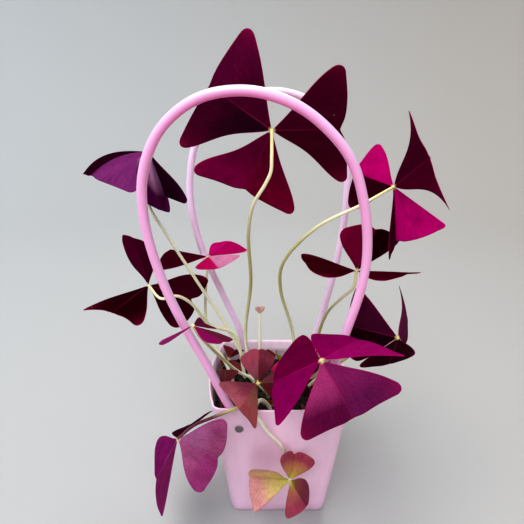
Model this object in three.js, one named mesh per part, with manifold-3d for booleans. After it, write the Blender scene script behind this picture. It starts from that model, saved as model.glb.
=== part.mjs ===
import * as THREE from 'three';
import { mergeVertices } from 'three/addons/utils/BufferGeometryUtils.js';
import Module from 'manifold-3d';

const wasm = await Module();
wasm.setup();

// A purple wood sorrel in a small square pot with two hooped handles. Millimetres, Z up, with the
// origin at the middle of the pot's underside and the front of the pot facing -Y.

// Pot: a square tapered box of thin coated board, its walls bowed out towards the rim
const POT_HEIGHT = 90;
const POT_BASE_HALF = 32;
const POT_RIM_HALF = 42;
const POT_WALL = 1.2;
const POT_CORNER = 6;
const SIDE_BOW = 5;
const FRONT_BOW = 2;
const WALL_RINGS = [30, 60];
const WALL_LEAN = Math.atan((POT_RIM_HALF - POT_BASE_HALF) / POT_HEIGHT);

// Clearance between two pieces that touch
const GAP = 0.3;

// Handles: bent plastic tube, pinned to the inside of the front and back walls
const TUBE_RADIUS = 2.5;
const TUBE_SIDES = 10;
const TUBE_STEPS = 40;
const TUBE_FOOT = 67;
const PIN_X = 25;
const PIN_HEIGHT = 75;
const PIN_SHANK = 1.4;
const PIN_HEAD = 2.6;
const PIN_HEAD_RISE = 0.9;
const PIN_REACH = 4;
const PIN_LIFT = 0.5;

// Soil: fills the pot to a low mound
const SOIL_EDGE = 75;
const SOIL_MOUND = 4;
const SOIL_LUMP = 0.7;

// Leaves
const BLADE = 0.7;
const KNOB = 1.9;
const HALF_SPREAD = 41;
const SIDE_BULGE = 0.1;
const RIM_REACH = 0.77;
const LOBE_SWELL = 0.04;
const NOTCH_DEPTH = 0.03;
const ROOT_START = 0.02;
const LOBE_AT = 0.93;
const ACROSS = [-1, -0.92, -0.75, -0.4, 0, 0.4, 0.75, 0.92, 1];
const ALONG = [0, 0.4, 0.75, 1];

// Leaf angles are given as seen by an eye in front of the plant that looks down by EYE_TILT degrees
const EYE = [-11, -269, 260];
const EYE_TILT = 18.7;

// Stalks
const STALK_BASE = 1.3;
const STALK_TIP = 0.85;
const STALK_SIDES = 6;
const STALK_STEP = 13;

const rad = THREE.MathUtils.degToRad;
const vec = (x, y, z) => new THREE.Vector3(x, y, z);

// Solids: a closed geometry becomes a solid to join or cut, and back again
function solidOf(geometry) {
  const bare = geometry.clone();
  bare.deleteAttribute('normal');
  bare.deleteAttribute('uv');
  const merged = mergeVertices(bare, 1e-4);
  return new wasm.Manifold(new wasm.Mesh({
    numProp: 3,
    vertProperties: Float32Array.from(merged.attributes.position.array),
    triVerts: Uint32Array.from(merged.index.array),
  }));
}

function geometryOf(solid) {
  const mesh = solid.getMesh();
  const geometry = new THREE.BufferGeometry();
  geometry.setAttribute('position', new THREE.BufferAttribute(Float32Array.from(mesh.vertProperties), 3));
  geometry.setIndex(Array.from(mesh.triVerts));
  geometry.computeVertexNormals();
  return geometry;
}

// A closed solid through a row of rings that all have the same number of points
function loft(rings) {
  const count = rings[0].length;
  const points = rings.flat();
  const faces = [];
  for (let r = 0; r < rings.length - 1; r += 1) {
    for (let i = 0; i < count; i += 1) {
      const a = r * count + i;
      const b = r * count + ((i + 1) % count);
      faces.push(a, b, b + count, a, b + count, a + count);
    }
  }
  const middle = (ring) => ring.reduce((sum, p) => sum.add(p), vec(0, 0, 0)).divideScalar(count);
  const last = (rings.length - 1) * count;
  points.push(middle(rings[0]), middle(rings.at(-1)));
  for (let i = 0; i < count; i += 1) {
    const next = (i + 1) % count;
    faces.push(points.length - 2, next, i);
    faces.push(points.length - 1, last + i, last + next);
  }
  const geometry = new THREE.BufferGeometry().setFromPoints(points);
  geometry.setIndex(faces);
  geometry.computeVertexNormals();
  return geometry;
}

// Pot section: a square with rounded corners and bowed sides, shrunk by inset, at height z
function bowAt(z) {
  return (z / POT_HEIGHT) ** 2;
}

function halfAt(z) {
  return POT_BASE_HALF + (POT_RIM_HALF - POT_BASE_HALF) * (z / POT_HEIGHT);
}

function potSection(z, inset) {
  const half = halfAt(z) - inset;
  const corner = POT_CORNER - inset;
  const straight = half - corner;
  const ring = [];
  for (let side = 0; side < 4; side += 1) {
    const turn = (side * Math.PI) / 2;
    const bow = bowAt(z) * (side % 2 === 0 ? SIDE_BOW : FRONT_BOW);
    for (let i = 0; i <= 6; i += 1) {
      const f = i / 3 - 1;
      ring.push(vec(half + bow * (1 - f * f), f * straight, z).applyAxisAngle(vec(0, 0, 1), turn));
    }
    for (let i = 1; i < 3; i += 1) {
      const a = (i * Math.PI) / 6;
      const p = vec(straight + corner * Math.cos(a), straight + corner * Math.sin(a), z);
      ring.push(p.applyAxisAngle(vec(0, 0, 1), turn));
    }
  }
  return ring;
}

// The middle line of a handle's leg lies this far from the pot's middle plane, and the hoop leans on
function tubeReach(z) {
  return halfAt(z) - POT_WALL - GAP - TUBE_RADIUS;
}

// A cylinder along the line from one point to another
function rod(from, to, radius, sides) {
  const geometry = new THREE.CylinderGeometry(radius, radius, from.distanceTo(to), sides);
  const turn = new THREE.Quaternion().setFromUnitVectors(vec(0, 1, 0), to.clone().sub(from).normalize());
  geometry.applyQuaternion(turn);
  geometry.translate(...from.clone().add(to).divideScalar(2).toArray());
  return geometry;
}

// Pins: where each one stands, with its axis square to the leaning wall
function pinPlaces() {
  const places = [];
  for (const face of [-1, 1]) {
    for (const x of [-PIN_X, PIN_X]) {
      const axis = vec(0, face * Math.cos(WALL_LEAN), -Math.sin(WALL_LEAN));
      const f = x / (halfAt(PIN_HEIGHT) - POT_CORNER);
      const bow = bowAt(PIN_HEIGHT) * FRONT_BOW * (1 - f * f);
      const seat = vec(x, face * (halfAt(PIN_HEIGHT) + bow), PIN_HEIGHT);
      places.push({ x, face, axis, seat });
    }
  }
  return places;
}

function makePot() {
  const outer = [0, ...WALL_RINGS, POT_HEIGHT].map((z) => potSection(z, 0));
  const inner = [POT_WALL, ...WALL_RINGS, POT_HEIGHT].map((z) => potSection(z, POT_WALL));
  inner.push(potSection(POT_HEIGHT, POT_WALL).map((p) => p.setZ(POT_HEIGHT + 1)));
  let solid = solidOf(loft(outer)).subtract(solidOf(loft(inner)));
  for (const pin of pinPlaces()) {
    const outside = pin.seat.clone().addScaledVector(pin.axis, 3);
    const inside = pin.seat.clone().addScaledVector(pin.axis, -3);
    solid = solid.subtract(solidOf(rod(outside, inside, PIN_SHANK + GAP, 12)));
  }
  return geometryOf(solid);
}

// Soil lumps: a few long and short ripples laid over each other
function soilLump(x, y) {
  const broad = Math.sin(x * 0.21 + 1.3) * Math.cos(y * 0.26 - 0.4);
  const fine = Math.sin(x * 0.55 - y * 0.37) * Math.cos(y * 0.61 + x * 0.2);
  return SOIL_LUMP * (broad + fine);
}

function makeSoil(cuts) {
  const inset = POT_WALL + 2 * GAP;
  const rings = [POT_WALL + GAP, ...WALL_RINGS, SOIL_EDGE].map((z) => potSection(z, inset));
  for (const shrink of [0.8, 0.5, 0.22]) {
    const ring = potSection(SOIL_EDGE, inset);
    ring.forEach((p) => {
      p.x *= shrink;
      p.y *= shrink;
      p.z += SOIL_MOUND * (1 - shrink ** 2) + soilLump(p.x, p.y);
    });
    rings.push(ring);
  }
  let solid = solidOf(loft(rings));
  for (const pin of pinPlaces()) {
    const depth = POT_HEIGHT - TUBE_FOOT + 2 * GAP;
    const pocket = new THREE.BoxGeometry(2 * TUBE_RADIUS + 8 * GAP, 2 * TUBE_RADIUS + 6, depth);
    const y = pin.face * (tubeReach(PIN_HEIGHT) + 1.2);
    pocket.translate(pin.x, y, TUBE_FOOT - 2 * GAP + depth / 2);
    solid = solid.subtract(solidOf(pocket));
  }
  for (const cut of cuts) solid = solid.subtract(cut);
  return geometryOf(solid);
}

// Handle: a round tube bent through hand-placed points, given as x and height in the hoop's plane
function makeHandle(route, face) {
  const points = route.map(([x, z]) => vec(x, face * tubeReach(z), z));
  const path = new THREE.CatmullRomCurve3(points, false, 'centripetal');
  const section = new THREE.Shape();
  for (let i = 0; i < TUBE_SIDES; i += 1) {
    const a = (i / TUBE_SIDES) * 2 * Math.PI;
    const corner = [TUBE_RADIUS * Math.cos(a), TUBE_RADIUS * Math.sin(a)];
    if (i === 0) section.moveTo(...corner);
    else section.lineTo(...corner);
  }
  const tube = new THREE.ExtrudeGeometry(section, { steps: TUBE_STEPS, bevelEnabled: false, extrudePath: path });
  let solid = solidOf(tube);
  for (const pin of pinPlaces().filter((p) => p.face === face)) {
    const mouth = pin.seat.clone();
    const end = pin.seat.clone().addScaledVector(pin.axis, -(POT_WALL + GAP + PIN_REACH + GAP));
    solid = solid.subtract(solidOf(rod(mouth, end, PIN_SHANK + GAP, 12)));
  }
  return geometryOf(solid);
}

// Pin: a domed head on the outside of the wall and a shank into the tube
function makePin(pin) {
  const reach = POT_WALL + GAP + PIN_REACH;
  const profile = [
    [0, -reach],
    [PIN_SHANK, -reach],
    [PIN_SHANK, PIN_LIFT],
    [PIN_HEAD, PIN_LIFT],
    [PIN_HEAD * 0.85, PIN_LIFT + PIN_HEAD_RISE * 0.6],
    [0, PIN_LIFT + PIN_HEAD_RISE],
  ].map(([r, y]) => new THREE.Vector2(r, y));
  const geometry = new THREE.LatheGeometry(profile, 12);
  geometry.applyQuaternion(new THREE.Quaternion().setFromUnitVectors(vec(0, 1, 0), pin.axis));
  geometry.translate(...pin.seat.toArray());
  return geometryOf(solidOf(geometry));
}

// A direction from a hub as the eye sees it: a clock hand, then a lean towards the eye
function sight(hub, [clock, toward]) {
  const right = vec(1, 0, 0);
  const up = vec(0, Math.sin(rad(EYE_TILT)), Math.cos(rad(EYE_TILT)));
  const eye = vec(...EYE).sub(hub).normalize();
  const flat = right.multiplyScalar(Math.sin(rad(clock))).addScaledVector(up, Math.cos(rad(clock)));
  flat.addScaledVector(eye, -flat.dot(eye)).normalize();
  return flat.multiplyScalar(Math.cos(rad(toward))).addScaledVector(eye, Math.sin(rad(toward)));
}

// Leaflet: a broad wedge with a shallow notch, folded along its midrib. Its two lobes point where a
// and b say, a clockwise of b. Where they are closer together than on a flat leaflet, the midrib
// stands out as a ridge on one side of the leaflet, or on the other for ridge -1. A third number
// after a lobe's two angles shortens it
function leafletFrame(hub, { a, b, ridge = 1, skew = 0 }) {
  const lobeA = sight(hub, a);
  const lobeB = sight(hub, b);
  const face = lobeA.clone().sub(lobeB).normalize().cross(lobeA.clone().add(lobeB).normalize());
  const middle = lobeA.clone().multiplyScalar(1 + skew).addScaledVector(lobeB, 1 - skew).normalize();
  const halfAngle = lobeA.angleTo(lobeB) / 2;
  const rise = ridge * Math.acos(Math.min(1, Math.cos(rad(HALF_SPREAD)) / Math.cos(halfAngle)));
  const midrib = middle.multiplyScalar(Math.cos(rise)).addScaledVector(face, Math.sin(rise));
  return { lobeA, lobeB, midrib, face };
}

function leafletPoint(leaflet, frame, s, t) {
  const edge = Math.abs(t);
  const lobe = t > 0 ? frame.lobeA : frame.lobeB;
  const half = frame.midrib.angleTo(lobe);
  const { bulge = [SIDE_BULGE, SIDE_BULGE], swell = LOBE_SWELL, fill = 0 } = leaflet;
  const curve = t > 0 ? bulge[0] : bulge[1];
  const turn = ((half * edge) / LOBE_AT) * (1 + curve * Math.sin(Math.PI * s));
  const across = lobe.clone().addScaledVector(frame.midrib, -Math.cos(half)).normalize();
  const notch = NOTCH_DEPTH * Math.exp(-((t / 0.15) ** 2));
  const round = 3 * Math.max(0, edge - 0.85) ** 2;
  const lobes = swell * Math.sin(Math.PI * edge) + fill * (1 - edge);
  const rim = RIM_REACH / Math.cos(rad(HALF_SPREAD) * t) + lobes - notch - round;
  const [, , reach = 1] = t > 0 ? leaflet.a : leaflet.b;
  const radius = leaflet.length * (1 + (reach - 1) * edge) * (ROOT_START + (1 - ROOT_START) * s) * rim;
  const point = frame.midrib.clone().multiplyScalar(radius * Math.cos(turn));
  point.addScaledVector(across, radius * Math.sin(turn));
  const dome = 4 * (leaflet.dome ?? 0) * radius * (1 - radius / leaflet.length);
  return point.addScaledVector(frame.face, dome);
}

function leafletGeometry(leaflet, hub) {
  const frame = leafletFrame(hub, leaflet);
  const at = (s, t) => leafletPoint(leaflet, frame, s, t).add(hub);
  const columns = ACROSS.length;
  const front = [];
  const back = [];
  for (const s of ALONG) {
    for (const t of ACROSS) {
      const step = 0.02;
      const acrossWay = at(s, Math.min(1, t + step)).sub(at(s, Math.max(-1, t - step)));
      const alongWay = at(s + step, t).sub(at(s - step / 2, t));
      const normal = acrossWay.cross(alongWay).normalize();
      front.push(at(s, t).addScaledVector(normal, BLADE / 2));
      back.push(at(s, t).addScaledVector(normal, -BLADE / 2));
    }
  }
  const faces = [];
  const n = front.length;
  const quad = (a, b, c, d) => faces.push(a, b, c, a, c, d);
  for (let r = 0; r < ALONG.length - 1; r += 1) {
    for (let c = 0; c < columns - 1; c += 1) {
      const a = r * columns + c;
      const b = a + 1;
      quad(a, b, b + columns, a + columns);
      faces.push(n + a, n + b + columns, n + b, n + a, n + a + columns, n + b + columns);
    }
    const left = r * columns;
    const right = left + columns - 1;
    quad(left, left + columns, n + left + columns, n + left);
    quad(right + columns, right, n + right, n + right + columns);
  }
  const rim = (ALONG.length - 1) * columns;
  for (let c = 0; c < columns - 1; c += 1) {
    quad(c + 1, c, n + c, n + c + 1);
    quad(rim + c, rim + c + 1, n + rim + c + 1, n + rim + c);
  }
  const geometry = new THREE.BufferGeometry().setFromPoints([...front, ...back]);
  geometry.setIndex(faces);
  return geometry;
}

// Blade: three leaflets joined at a small knob
function makeBlade(leaf) {
  const hub = vec(...leaf.hub);
  const knob = new THREE.OctahedronGeometry(KNOB, 0);
  knob.translate(...leaf.hub);
  let solid = solidOf(knob);
  for (const leaflet of leaf.leaflets) {
    solid = solid.add(solidOf(leafletGeometry(leaflet, hub)));
  }
  return geometryOf(solid);
}

// Stalk: a tapered stem from its foot in the soil, through its points, to just under the knob
function stalkGeometry(leaf, extra) {
  const hub = vec(...leaf.hub);
  const curve = new THREE.CatmullRomCurve3([...leaf.stalk.map((p) => vec(...p)), hub], false, 'centripetal');
  let end = 1;
  while (curve.getPointAt(end).distanceTo(hub) < KNOB + GAP) end -= 0.001;
  const steps = Math.max(3, Math.round(curve.getLength() / STALK_STEP));
  const frames = curve.computeFrenetFrames(200, false);
  const rings = [];
  for (let i = 0; i <= steps; i += 1) {
    const t = (i / steps) * end;
    const centre = curve.getPointAt(t);
    if (i === 0) centre.addScaledVector(curve.getTangentAt(0), -extra);
    const radius = STALK_BASE + (STALK_TIP - STALK_BASE) * t + extra;
    const across = frames.normals[Math.round(t * 200)];
    const along = frames.binormals[Math.round(t * 200)];
    const ring = [];
    for (let k = 0; k < STALK_SIDES; k += 1) {
      const turn = (k / STALK_SIDES) * 2 * Math.PI;
      const p = centre.clone().addScaledVector(across, radius * Math.cos(turn));
      ring.push(p.addScaledVector(along, radius * Math.sin(turn)));
    }
    rings.push(ring);
  }
  return loft(rings);
}

// Handle routes: x and height
const FRONT_ROUTE = [
  [-25, TUBE_FOOT], [-25.5, 78], [-32, 91], [-42.5, 119], [-54, 146], [-64, 176], [-69.5, 210], [-67, 233],
  [-57, 252], [-40, 264.5], [-20, 268], [-2, 264.5], [13, 256.5], [30, 239], [39, 216], [43, 190],
  [41.5, 168], [36, 142], [30, 114], [26, 90], [25, 78], [25, TUBE_FOOT],
];
const BACK_ROUTE = [
  [-25, TUBE_FOOT], [-24.5, 80], [-27, 98], [-39, 126], [-55.5, 165], [-62, 196], [-62, 215], [-57, 238],
  [-43, 257], [-23, 269], [0, 272], [22, 265.5], [39, 249], [47.5, 227], [49.5, 204], [45, 160],
  [36.5, 121], [30, 96], [25.5, 80], [25, TUBE_FOOT],
];

// Leaves: hub, stalk points from the foot in the soil up, and three leaflets
const LEAVES = [
  {
    name: 'crown',
    color: '#4a0425',
    hub: [-6, -30, 250],
    stalk: [[-18, 9, 69], [-19, 9, 80], [-22.5, 9, 112], [-18, -8, 158], [-18.5, -28, 195], [-10, -45, 224], [-5, -43, 238]],
    leaflets: [
      {
        a: [346, -6], b: [262, -12, 1.03],
        length: 52, ridge: -0.8, fill: 0.03, swell: 0, bulge: [0.05, -0.02],
      },
      {
        a: [124, -10, 1.03], b: [49, -6],
        length: 49, ridge: -0.4, skew: 0.08, fill: 0.05, bulge: [-0.04, 0.1],
      },
      {
        a: [241, -10, 1.04], b: [168, -12, 1.03],
        length: 48, ridge: -0.4, fill: 0.05, swell: 0, bulge: [-0.02, 0.05],
      },
    ],
  },
  {
    name: 'left_high',
    color: '#7a2a6e',
    hub: [-78, 5, 236],
    stalk: [[-18, 15, 69], [-20, 14, 80], [-32, 17, 110.5], [-52, 9, 153], [-70, 5, 186], [-81, 4, 206], [-80, 4, 222]],
    leaflets: [
      {
        a: [248, -12, 0.94], b: [200, 58],
        length: 46, ridge: 0.4, skew: 0.18, dome: 0.14, fill: 0.05, swell: -0.02, bulge: [0.2, 0.1],
      },
      { a: [188, 56], b: [157, -22], length: 46, skew: -0.3, dome: 0.1, bulge: [0.5, 0.1] },
      { a: [145, -12], b: [125, -80], length: 41, ridge: -0.5, dome: 0.1 },
    ],
  },
  {
    name: 'right_high',
    color: '#6a0a3c',
    hub: [65, -10, 218],
    stalk: [[14, 16, 69], [13, 16, 84], [10.5, 14, 112], [1, 2, 150], [2, -8, 171], [20, -22, 197], [44, -23, 210]],
    leaflets: [
      { a: [111, 46], b: [12, 17], length: 42.5, swell: -0.06, bulge: [-0.3, -0.3] },
      { a: [184, 26, 0.97], b: [130, -29], length: 47, ridge: -1.3, swell: 0.02, bulge: [0.1, 0] },
      { a: [336, -46], b: [246, -41], length: 43, fill: -0.12, swell: 0 },
    ],
  },
  {
    name: 'right_mid',
    color: '#4a0424',
    hub: [47, -10, 166.5],
    stalk: [[20, 12, 69], [23, 12, 82], [28, 10, 112], [32, 0, 134], [38, -9, 147], [45, -13, 157]],
    leaflets: [
      { a: [53, -24], b: [341, -38], length: 38, skew: 0.4 },
      { a: [112, 68], b: [92, -10], length: 40, ridge: 0.3 },
      { a: [288, -20], b: [259, 61], length: 40, ridge: -0.3 },
    ],
  },
  {
    name: 'right_low',
    color: '#41062f',
    hub: [64, -48, 141],
    stalk: [[17, -3, 69], [20, -6, 80], [32, -18, 102], [49, -27, 122], [59, -34, 134]],
    leaflets: [
      { a: [319, 14], b: [245, -28], length: 36, bulge: [0.04, 0.1] },
      { a: [233, -28, 1.05], b: [138, -64], length: 31, ridge: 0.2, fill: 0.1 },
      { a: [100, -80], b: [1, -22], length: 34, ridge: 0.2, bulge: [0.1, -0.5] },
    ],
  },
  {
    name: 'front_right',
    color: '#6a1050',
    hub: [18.5, -73, 142],
    stalk: [[5, -15, 69], [7, -17, 82], [12, -31, 104], [17, -48, 116], [19.5, -63, 130]],
    leaflets: [
      { a: [191, -12], b: [111, -4], length: 43, fill: -0.01, swell: -0.03 },
      { a: [315, -63], b: [215, -18], length: 43, skew: -0.35 },
      {
        a: [86, 0], b: [342, -58, 0.68],
        length: 41, skew: 0.1, fill: -0.08, swell: 0, bulge: [-0.12, 0.1],
      },
    ],
  },
  {
    name: 'left_mid',
    color: '#3f0420',
    hub: [-84, 0, 153],
    stalk: [[-23, 10, 69], [-24, 10, 82], [-30.5, 9, 113.5], [-46, 5, 122], [-57, -3, 142], [-65, -8, 149], [-74, -10, 148]],
    leaflets: [
      { a: [6, 64], b: [330, -25], length: 44, fill: -0.02, bulge: [0, 0.1] },
      { a: [249, -3], b: [195, 54], length: 44.5, ridge: 0.15, fill: -0.03, swell: -0.06 },
      { a: [146, -33], b: [84, -18], length: 44, skew: -0.5, fill: -0.03, bulge: [0.1, 0.3] },
    ],
  },
  {
    name: 'centre_left',
    color: '#9b0a55',
    hub: [-49, 32, 162],
    stalk: [[-30, 4, 69], [-32, 4, 81], [-37.5, 7, 94], [-48, 12, 109], [-50.5, 18, 120], [-51, 25, 135]],
    leaflets: [
      { a: [279, -54], b: [256, 20], length: 38 },
      { a: [77, 10], b: [42, -54], length: 30, ridge: -1 },
      { a: [219, 70], b: [106, 46], length: 30, ridge: -0.4 },
    ],
  },
  {
    name: 'left_low',
    color: '#7d1452',
    hub: [-48.5, -49, 149],
    stalk: [[-16, 4, 69], [-17.5, 4, 80], [-27, 1, 88], [-36, -8, 103], [-44, -24, 123], [-47, -42, 140]],
    leaflets: [
      { a: [245, 16], b: [235, -22], length: 21, ridge: 0, fill: 0.15 },
      { a: [139, 60, 0.9], b: [108, -20], length: 26 },
      { a: [98, -46], b: [40, -72], length: 20, ridge: 0 },
    ],
  },
  {
    name: 'front_left',
    color: '#7d2638',
    hub: [-13.5, -42, 108],
    stalk: [[-6, -12, 69], [-7, -15, 80], [-10, -28, 94]],
    leaflets: [
      { a: [33, -44], b: [328, -43], length: 27.5 },
      { a: [267, 32], b: [184, 16], length: 26.5, fill: 0.2, swell: -0.04 },
      { a: [128, -40], b: [60, -55], length: 25 },
    ],
  },
  {
    name: 'hanging_left',
    color: '#8a2a66',
    hub: [-61, -50, 75],
    stalk: [[-7, -20, 69], [-9, -22, 79], [-16, -34, 90], [-23, -44.5, 94], [-39, -48, 89], [-52, -46, 81]],
    leaflets: [
      { a: [259, -70], b: [193, 3, 0.92], length: 44, ridge: 1.1 },
      { a: [156, 28], b: [71, 36], length: 36, ridge: -1, skew: 0.1, bulge: [0.2, 0.1] },
      { a: [50, -30], b: [330, -78, 0.8], length: 32, ridge: -0.1 },
    ],
  },
  {
    name: 'hanging_front',
    color: '#9a4a4a',
    hub: [6.5, -47, 41],
    stalk: [[-4, -27, 69], [-6, -28, 80], [-12, -38, 93.5], [-15, -47, 93.5], [-9, -46.5, 79], [1, -42.5, 63], [4.5, -40, 48]],
    leaflets: [
      { a: [283, 38, 1.02], b: [229, 0, 0.94], length: 30, ridge: -1, fill: 0.08 },
      { a: [52, 34], b: [338, 52], length: 23, ridge: -1 },
      { a: [184, 25, 0.88], b: [100, 66], length: 26, ridge: -1, skew: 0.2 },
    ],
  },
  {
    name: 'inner_left',
    color: '#6b3a3a',
    hub: [-35, 19, 88],
    stalk: [[-31, 20, 69], [-33, 22, 79]],
    leaflets: [
      { a: [60, 10], b: [340, 35], length: 13 },
      { a: [190, 40], b: [120, -10], length: 14 },
      { a: [290, -20], b: [225, 30], length: 9 },
    ],
  },
  {
    name: 'inner_low',
    color: '#5a2030',
    hub: [-35, -15, 88],
    stalk: [[-32, -6, 69], [-34, -8, 80]],
    leaflets: [
      { a: [40, 0], b: [335, -30], length: 13 },
      { a: [160, 20], b: [100, -30], length: 12 },
      { a: [265, -40], b: [200, 10], length: 8 },
    ],
  },
  {
    name: 'inner_right',
    color: '#3a1022',
    hub: [14, -10, 93],
    stalk: [[12, -1, 69], [12, -3, 81]],
    leaflets: [
      { a: [345, -10], b: [265, 0], length: 20 },
      { a: [225, -24], b: [150, -20], length: 16 },
      { a: [90, -40], b: [20, -30], length: 17 },
    ],
  },
  {
    name: 'bud',
    color: '#b98a6a',
    hub: [-12.5, 22, 122],
    stalk: [[-12, 17, 69], [-13, 18, 84], [-12.5, 20, 104]],
    leaflets: [
      { a: [205, 10], b: [150, 50], length: 8 },
      { a: [320, 10], b: [250, 10], length: 8 },
      { a: [90, 10], b: [30, 20], length: 8 },
    ],
  },
];

// Assembly
const group = new THREE.Group();

function place(name, geometry, color, roughness) {
  const material = new THREE.MeshStandardMaterial({ color, roughness, metalness: 0 });
  const mesh = new THREE.Mesh(geometry, material);
  mesh.name = name;
  group.add(mesh);
}

place('pot', makePot(), '#dcb8d8', 0.45);
place('handle_front', makeHandle(FRONT_ROUTE, -1), '#f2a8dc', 0.3);
place('handle_back', makeHandle(BACK_ROUTE, 1), '#f2a8dc', 0.3);
for (const pin of pinPlaces()) {
  const face = pin.face < 0 ? 'front' : 'back';
  const side = pin.x < 0 ? 'left' : 'right';
  place(`pin_${face}_${side}`, makePin(pin), '#8f8a78', 0.5);
}
const soilCuts = [];
for (const leaf of LEAVES) {
  soilCuts.push(solidOf(stalkGeometry(leaf, GAP)));
  place(`blade_${leaf.name}`, makeBlade(leaf), leaf.color, 0.5);
  place(`stalk_${leaf.name}`, stalkGeometry(leaf, 0), '#c9c98a', 0.5);
}
place('soil', makeSoil(soilCuts), '#1c1610', 0.95);

export default group;
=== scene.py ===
# %% [markdown]
# # A purple wood sorrel in a pot with two handles
# This notebook dresses one small potted plant: a tapered pot of coated board, two hooped
# handles of plastic tube, dark soil, and sixteen leaves, each a stalk that ends in three
# folded leaflets. The solids of the part are loaded first. Every piece made here, but for
# a little dry litter, takes the place of one or more of them, in the same frame, in metres.

# %% Load the part
import math
import bpy
import numpy as np
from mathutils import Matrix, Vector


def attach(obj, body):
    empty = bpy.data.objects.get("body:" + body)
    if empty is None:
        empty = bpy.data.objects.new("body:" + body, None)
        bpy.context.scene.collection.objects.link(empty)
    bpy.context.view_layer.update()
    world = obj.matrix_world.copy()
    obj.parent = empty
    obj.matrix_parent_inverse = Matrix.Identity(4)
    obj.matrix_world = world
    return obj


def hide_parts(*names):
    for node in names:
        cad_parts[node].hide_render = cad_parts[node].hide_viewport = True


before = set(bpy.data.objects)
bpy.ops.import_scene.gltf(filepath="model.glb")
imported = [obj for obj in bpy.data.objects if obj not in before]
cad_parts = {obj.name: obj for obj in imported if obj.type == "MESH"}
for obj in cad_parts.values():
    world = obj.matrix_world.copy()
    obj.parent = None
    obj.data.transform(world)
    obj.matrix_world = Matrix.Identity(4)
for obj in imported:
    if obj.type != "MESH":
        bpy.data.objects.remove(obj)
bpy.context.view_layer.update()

# %% [markdown]
# ## Units and colours
# Sizes are written in millimetres, as a maker would measure them, and turned to metres
# where a mesh is made. Colours are written as sRGB hex codes, the way a paint chart gives
# them, and one function turns them to the linear numbers that a renderer adds up. Another
# turns the size of a grain or a vein to the scale that a pattern node wants.

# %% Units and colours
MM = 0.001


def linear(code):
    """Turn an sRGB hex code to a linear colour with alpha."""
    parts = [int(code[i:i + 2], 16) / 255 for i in (1, 3, 5)]
    return [c / 12.92 if c <= 0.04045 else ((c + 0.055) / 1.055) ** 2.4 for c in parts] + [1.0]


def per_metre(mark_mm):
    """The scale of a pattern whose marks are this many millimetres apart."""
    return 1000 / mark_mm


print("mid grey:", [round(c, 3) for c in linear("#808080")])

# %% [markdown]
# ## Camera
# The plant is seen from a little above, from straight in front, with a lens somewhat wider
# than normal. The picture is square, so the lens and the sensor alone set the view.

# %% Camera
EYE = np.array([-11, -269.4, 260])
EYE_TILT = 18.7
SENSOR_WIDTH = 36
LENS = 30.92

camera = bpy.data.objects.new("camera", bpy.data.cameras.new("camera"))
bpy.context.scene.collection.objects.link(camera)
camera.data.sensor_width = SENSOR_WIDTH
camera.data.lens = LENS
camera.location = EYE * MM
camera.rotation_euler = (math.radians(90 - EYE_TILT), 0, 0)
camera.data.clip_start = 0.01
bpy.context.scene.camera = camera
bpy.context.scene.view_settings.view_transform = "Standard"
bpy.context.scene.view_settings.look = "Medium High Contrast"
print("camera at", [round(c, 3) for c in camera.location])

# %% [markdown]
# ## Nodes
# Materials and geometry trees are both made of nodes. One small function adds a node,
# sets its options, and fills its inputs with numbers or with another node's output; a
# whole node given there stands for its first output in use. A second function starts a
# material with a plain shader, whose own sockets hold all that is the same over the whole
# surface, and a third leads the finished patterns to that shader.

# %% Node and material helpers


def live_output(source):
    """The first output in use of a node. Anything else is given back as it is."""
    if isinstance(source, bpy.types.Node):
        return next(output for output in source.outputs if output.enabled)
    return source


def node(tree, kind, inputs=None, **settings):
    """Add a node to a tree, with its settings and its linked or fixed inputs."""
    made = tree.nodes.new(kind)
    for name, value in settings.items():
        setattr(made, name, value)
    for key, value in (inputs or {}).items():
        value = live_output(value)
        if isinstance(value, bpy.types.NodeSocket):
            tree.links.new(value, made.inputs[key])
        else:
            made.inputs[key].default_value = value
    return made


def set_ramp(ramp, tones):
    """Give a colour ramp its stops."""
    stops = ramp.color_ramp.elements
    while len(stops) < len(tones):
        stops.new(0.5)
    for stop, (at, code) in zip(stops, tones):
        stop.position = at
        stop.color = linear(code)


def start_material(name, **sockets):
    """Start a material with one shader. Socket names are written with underscores."""
    material = bpy.data.materials.new(name)
    material.use_nodes = True
    tree = material.node_tree
    tree.nodes.clear()
    fixed = {key.replace("_", " "): value for key, value in sockets.items()}
    shader = node(tree, "ShaderNodeBsdfPrincipled", fixed)
    node(tree, "ShaderNodeOutputMaterial", {"Surface": shader})
    return material, tree, shader


def wire(tree, shader, **patterns):
    """Lead the patterns of a finish to the sockets of its shader, and count its nodes."""
    for key, output in patterns.items():
        tree.links.new(live_output(output), shader.inputs[key.replace("_", " ")])
    print(len(tree.nodes), "nodes in the finish")


def mesh_object(name, points, faces, material, edges=()):
    """Make an object from points in millimetres, its place in its mesh."""
    mesh = bpy.data.meshes.new(name)
    mesh.from_pydata((np.asarray(points) * MM).tolist(), list(edges), list(faces))
    if material:
        mesh.materials.append(material)
    mesh.shade_smooth()
    made = bpy.data.objects.new(name, mesh)
    bpy.context.scene.collection.objects.link(made)
    return made


def store(made, name, values, kind="FLOAT"):
    """Store one value or colour for each point of a mesh, for its material to read."""
    layer = made.data.attributes.new(name, kind, "POINT")
    field = "color" if kind == "FLOAT_COLOR" else "value"
    layer.data.foreach_set(field, np.asarray(values, dtype=np.float32).ravel())


def finish_piece(made, slot, *nodes):
    """Let a piece ride on the body and stand for its solids."""
    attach(made, "root")
    if nodes:
        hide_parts(*nodes)
    made.data.calc_loop_triangles()
    print(made.name, "-", len(made.data.loop_triangles), "triangles")
    return made
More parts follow.
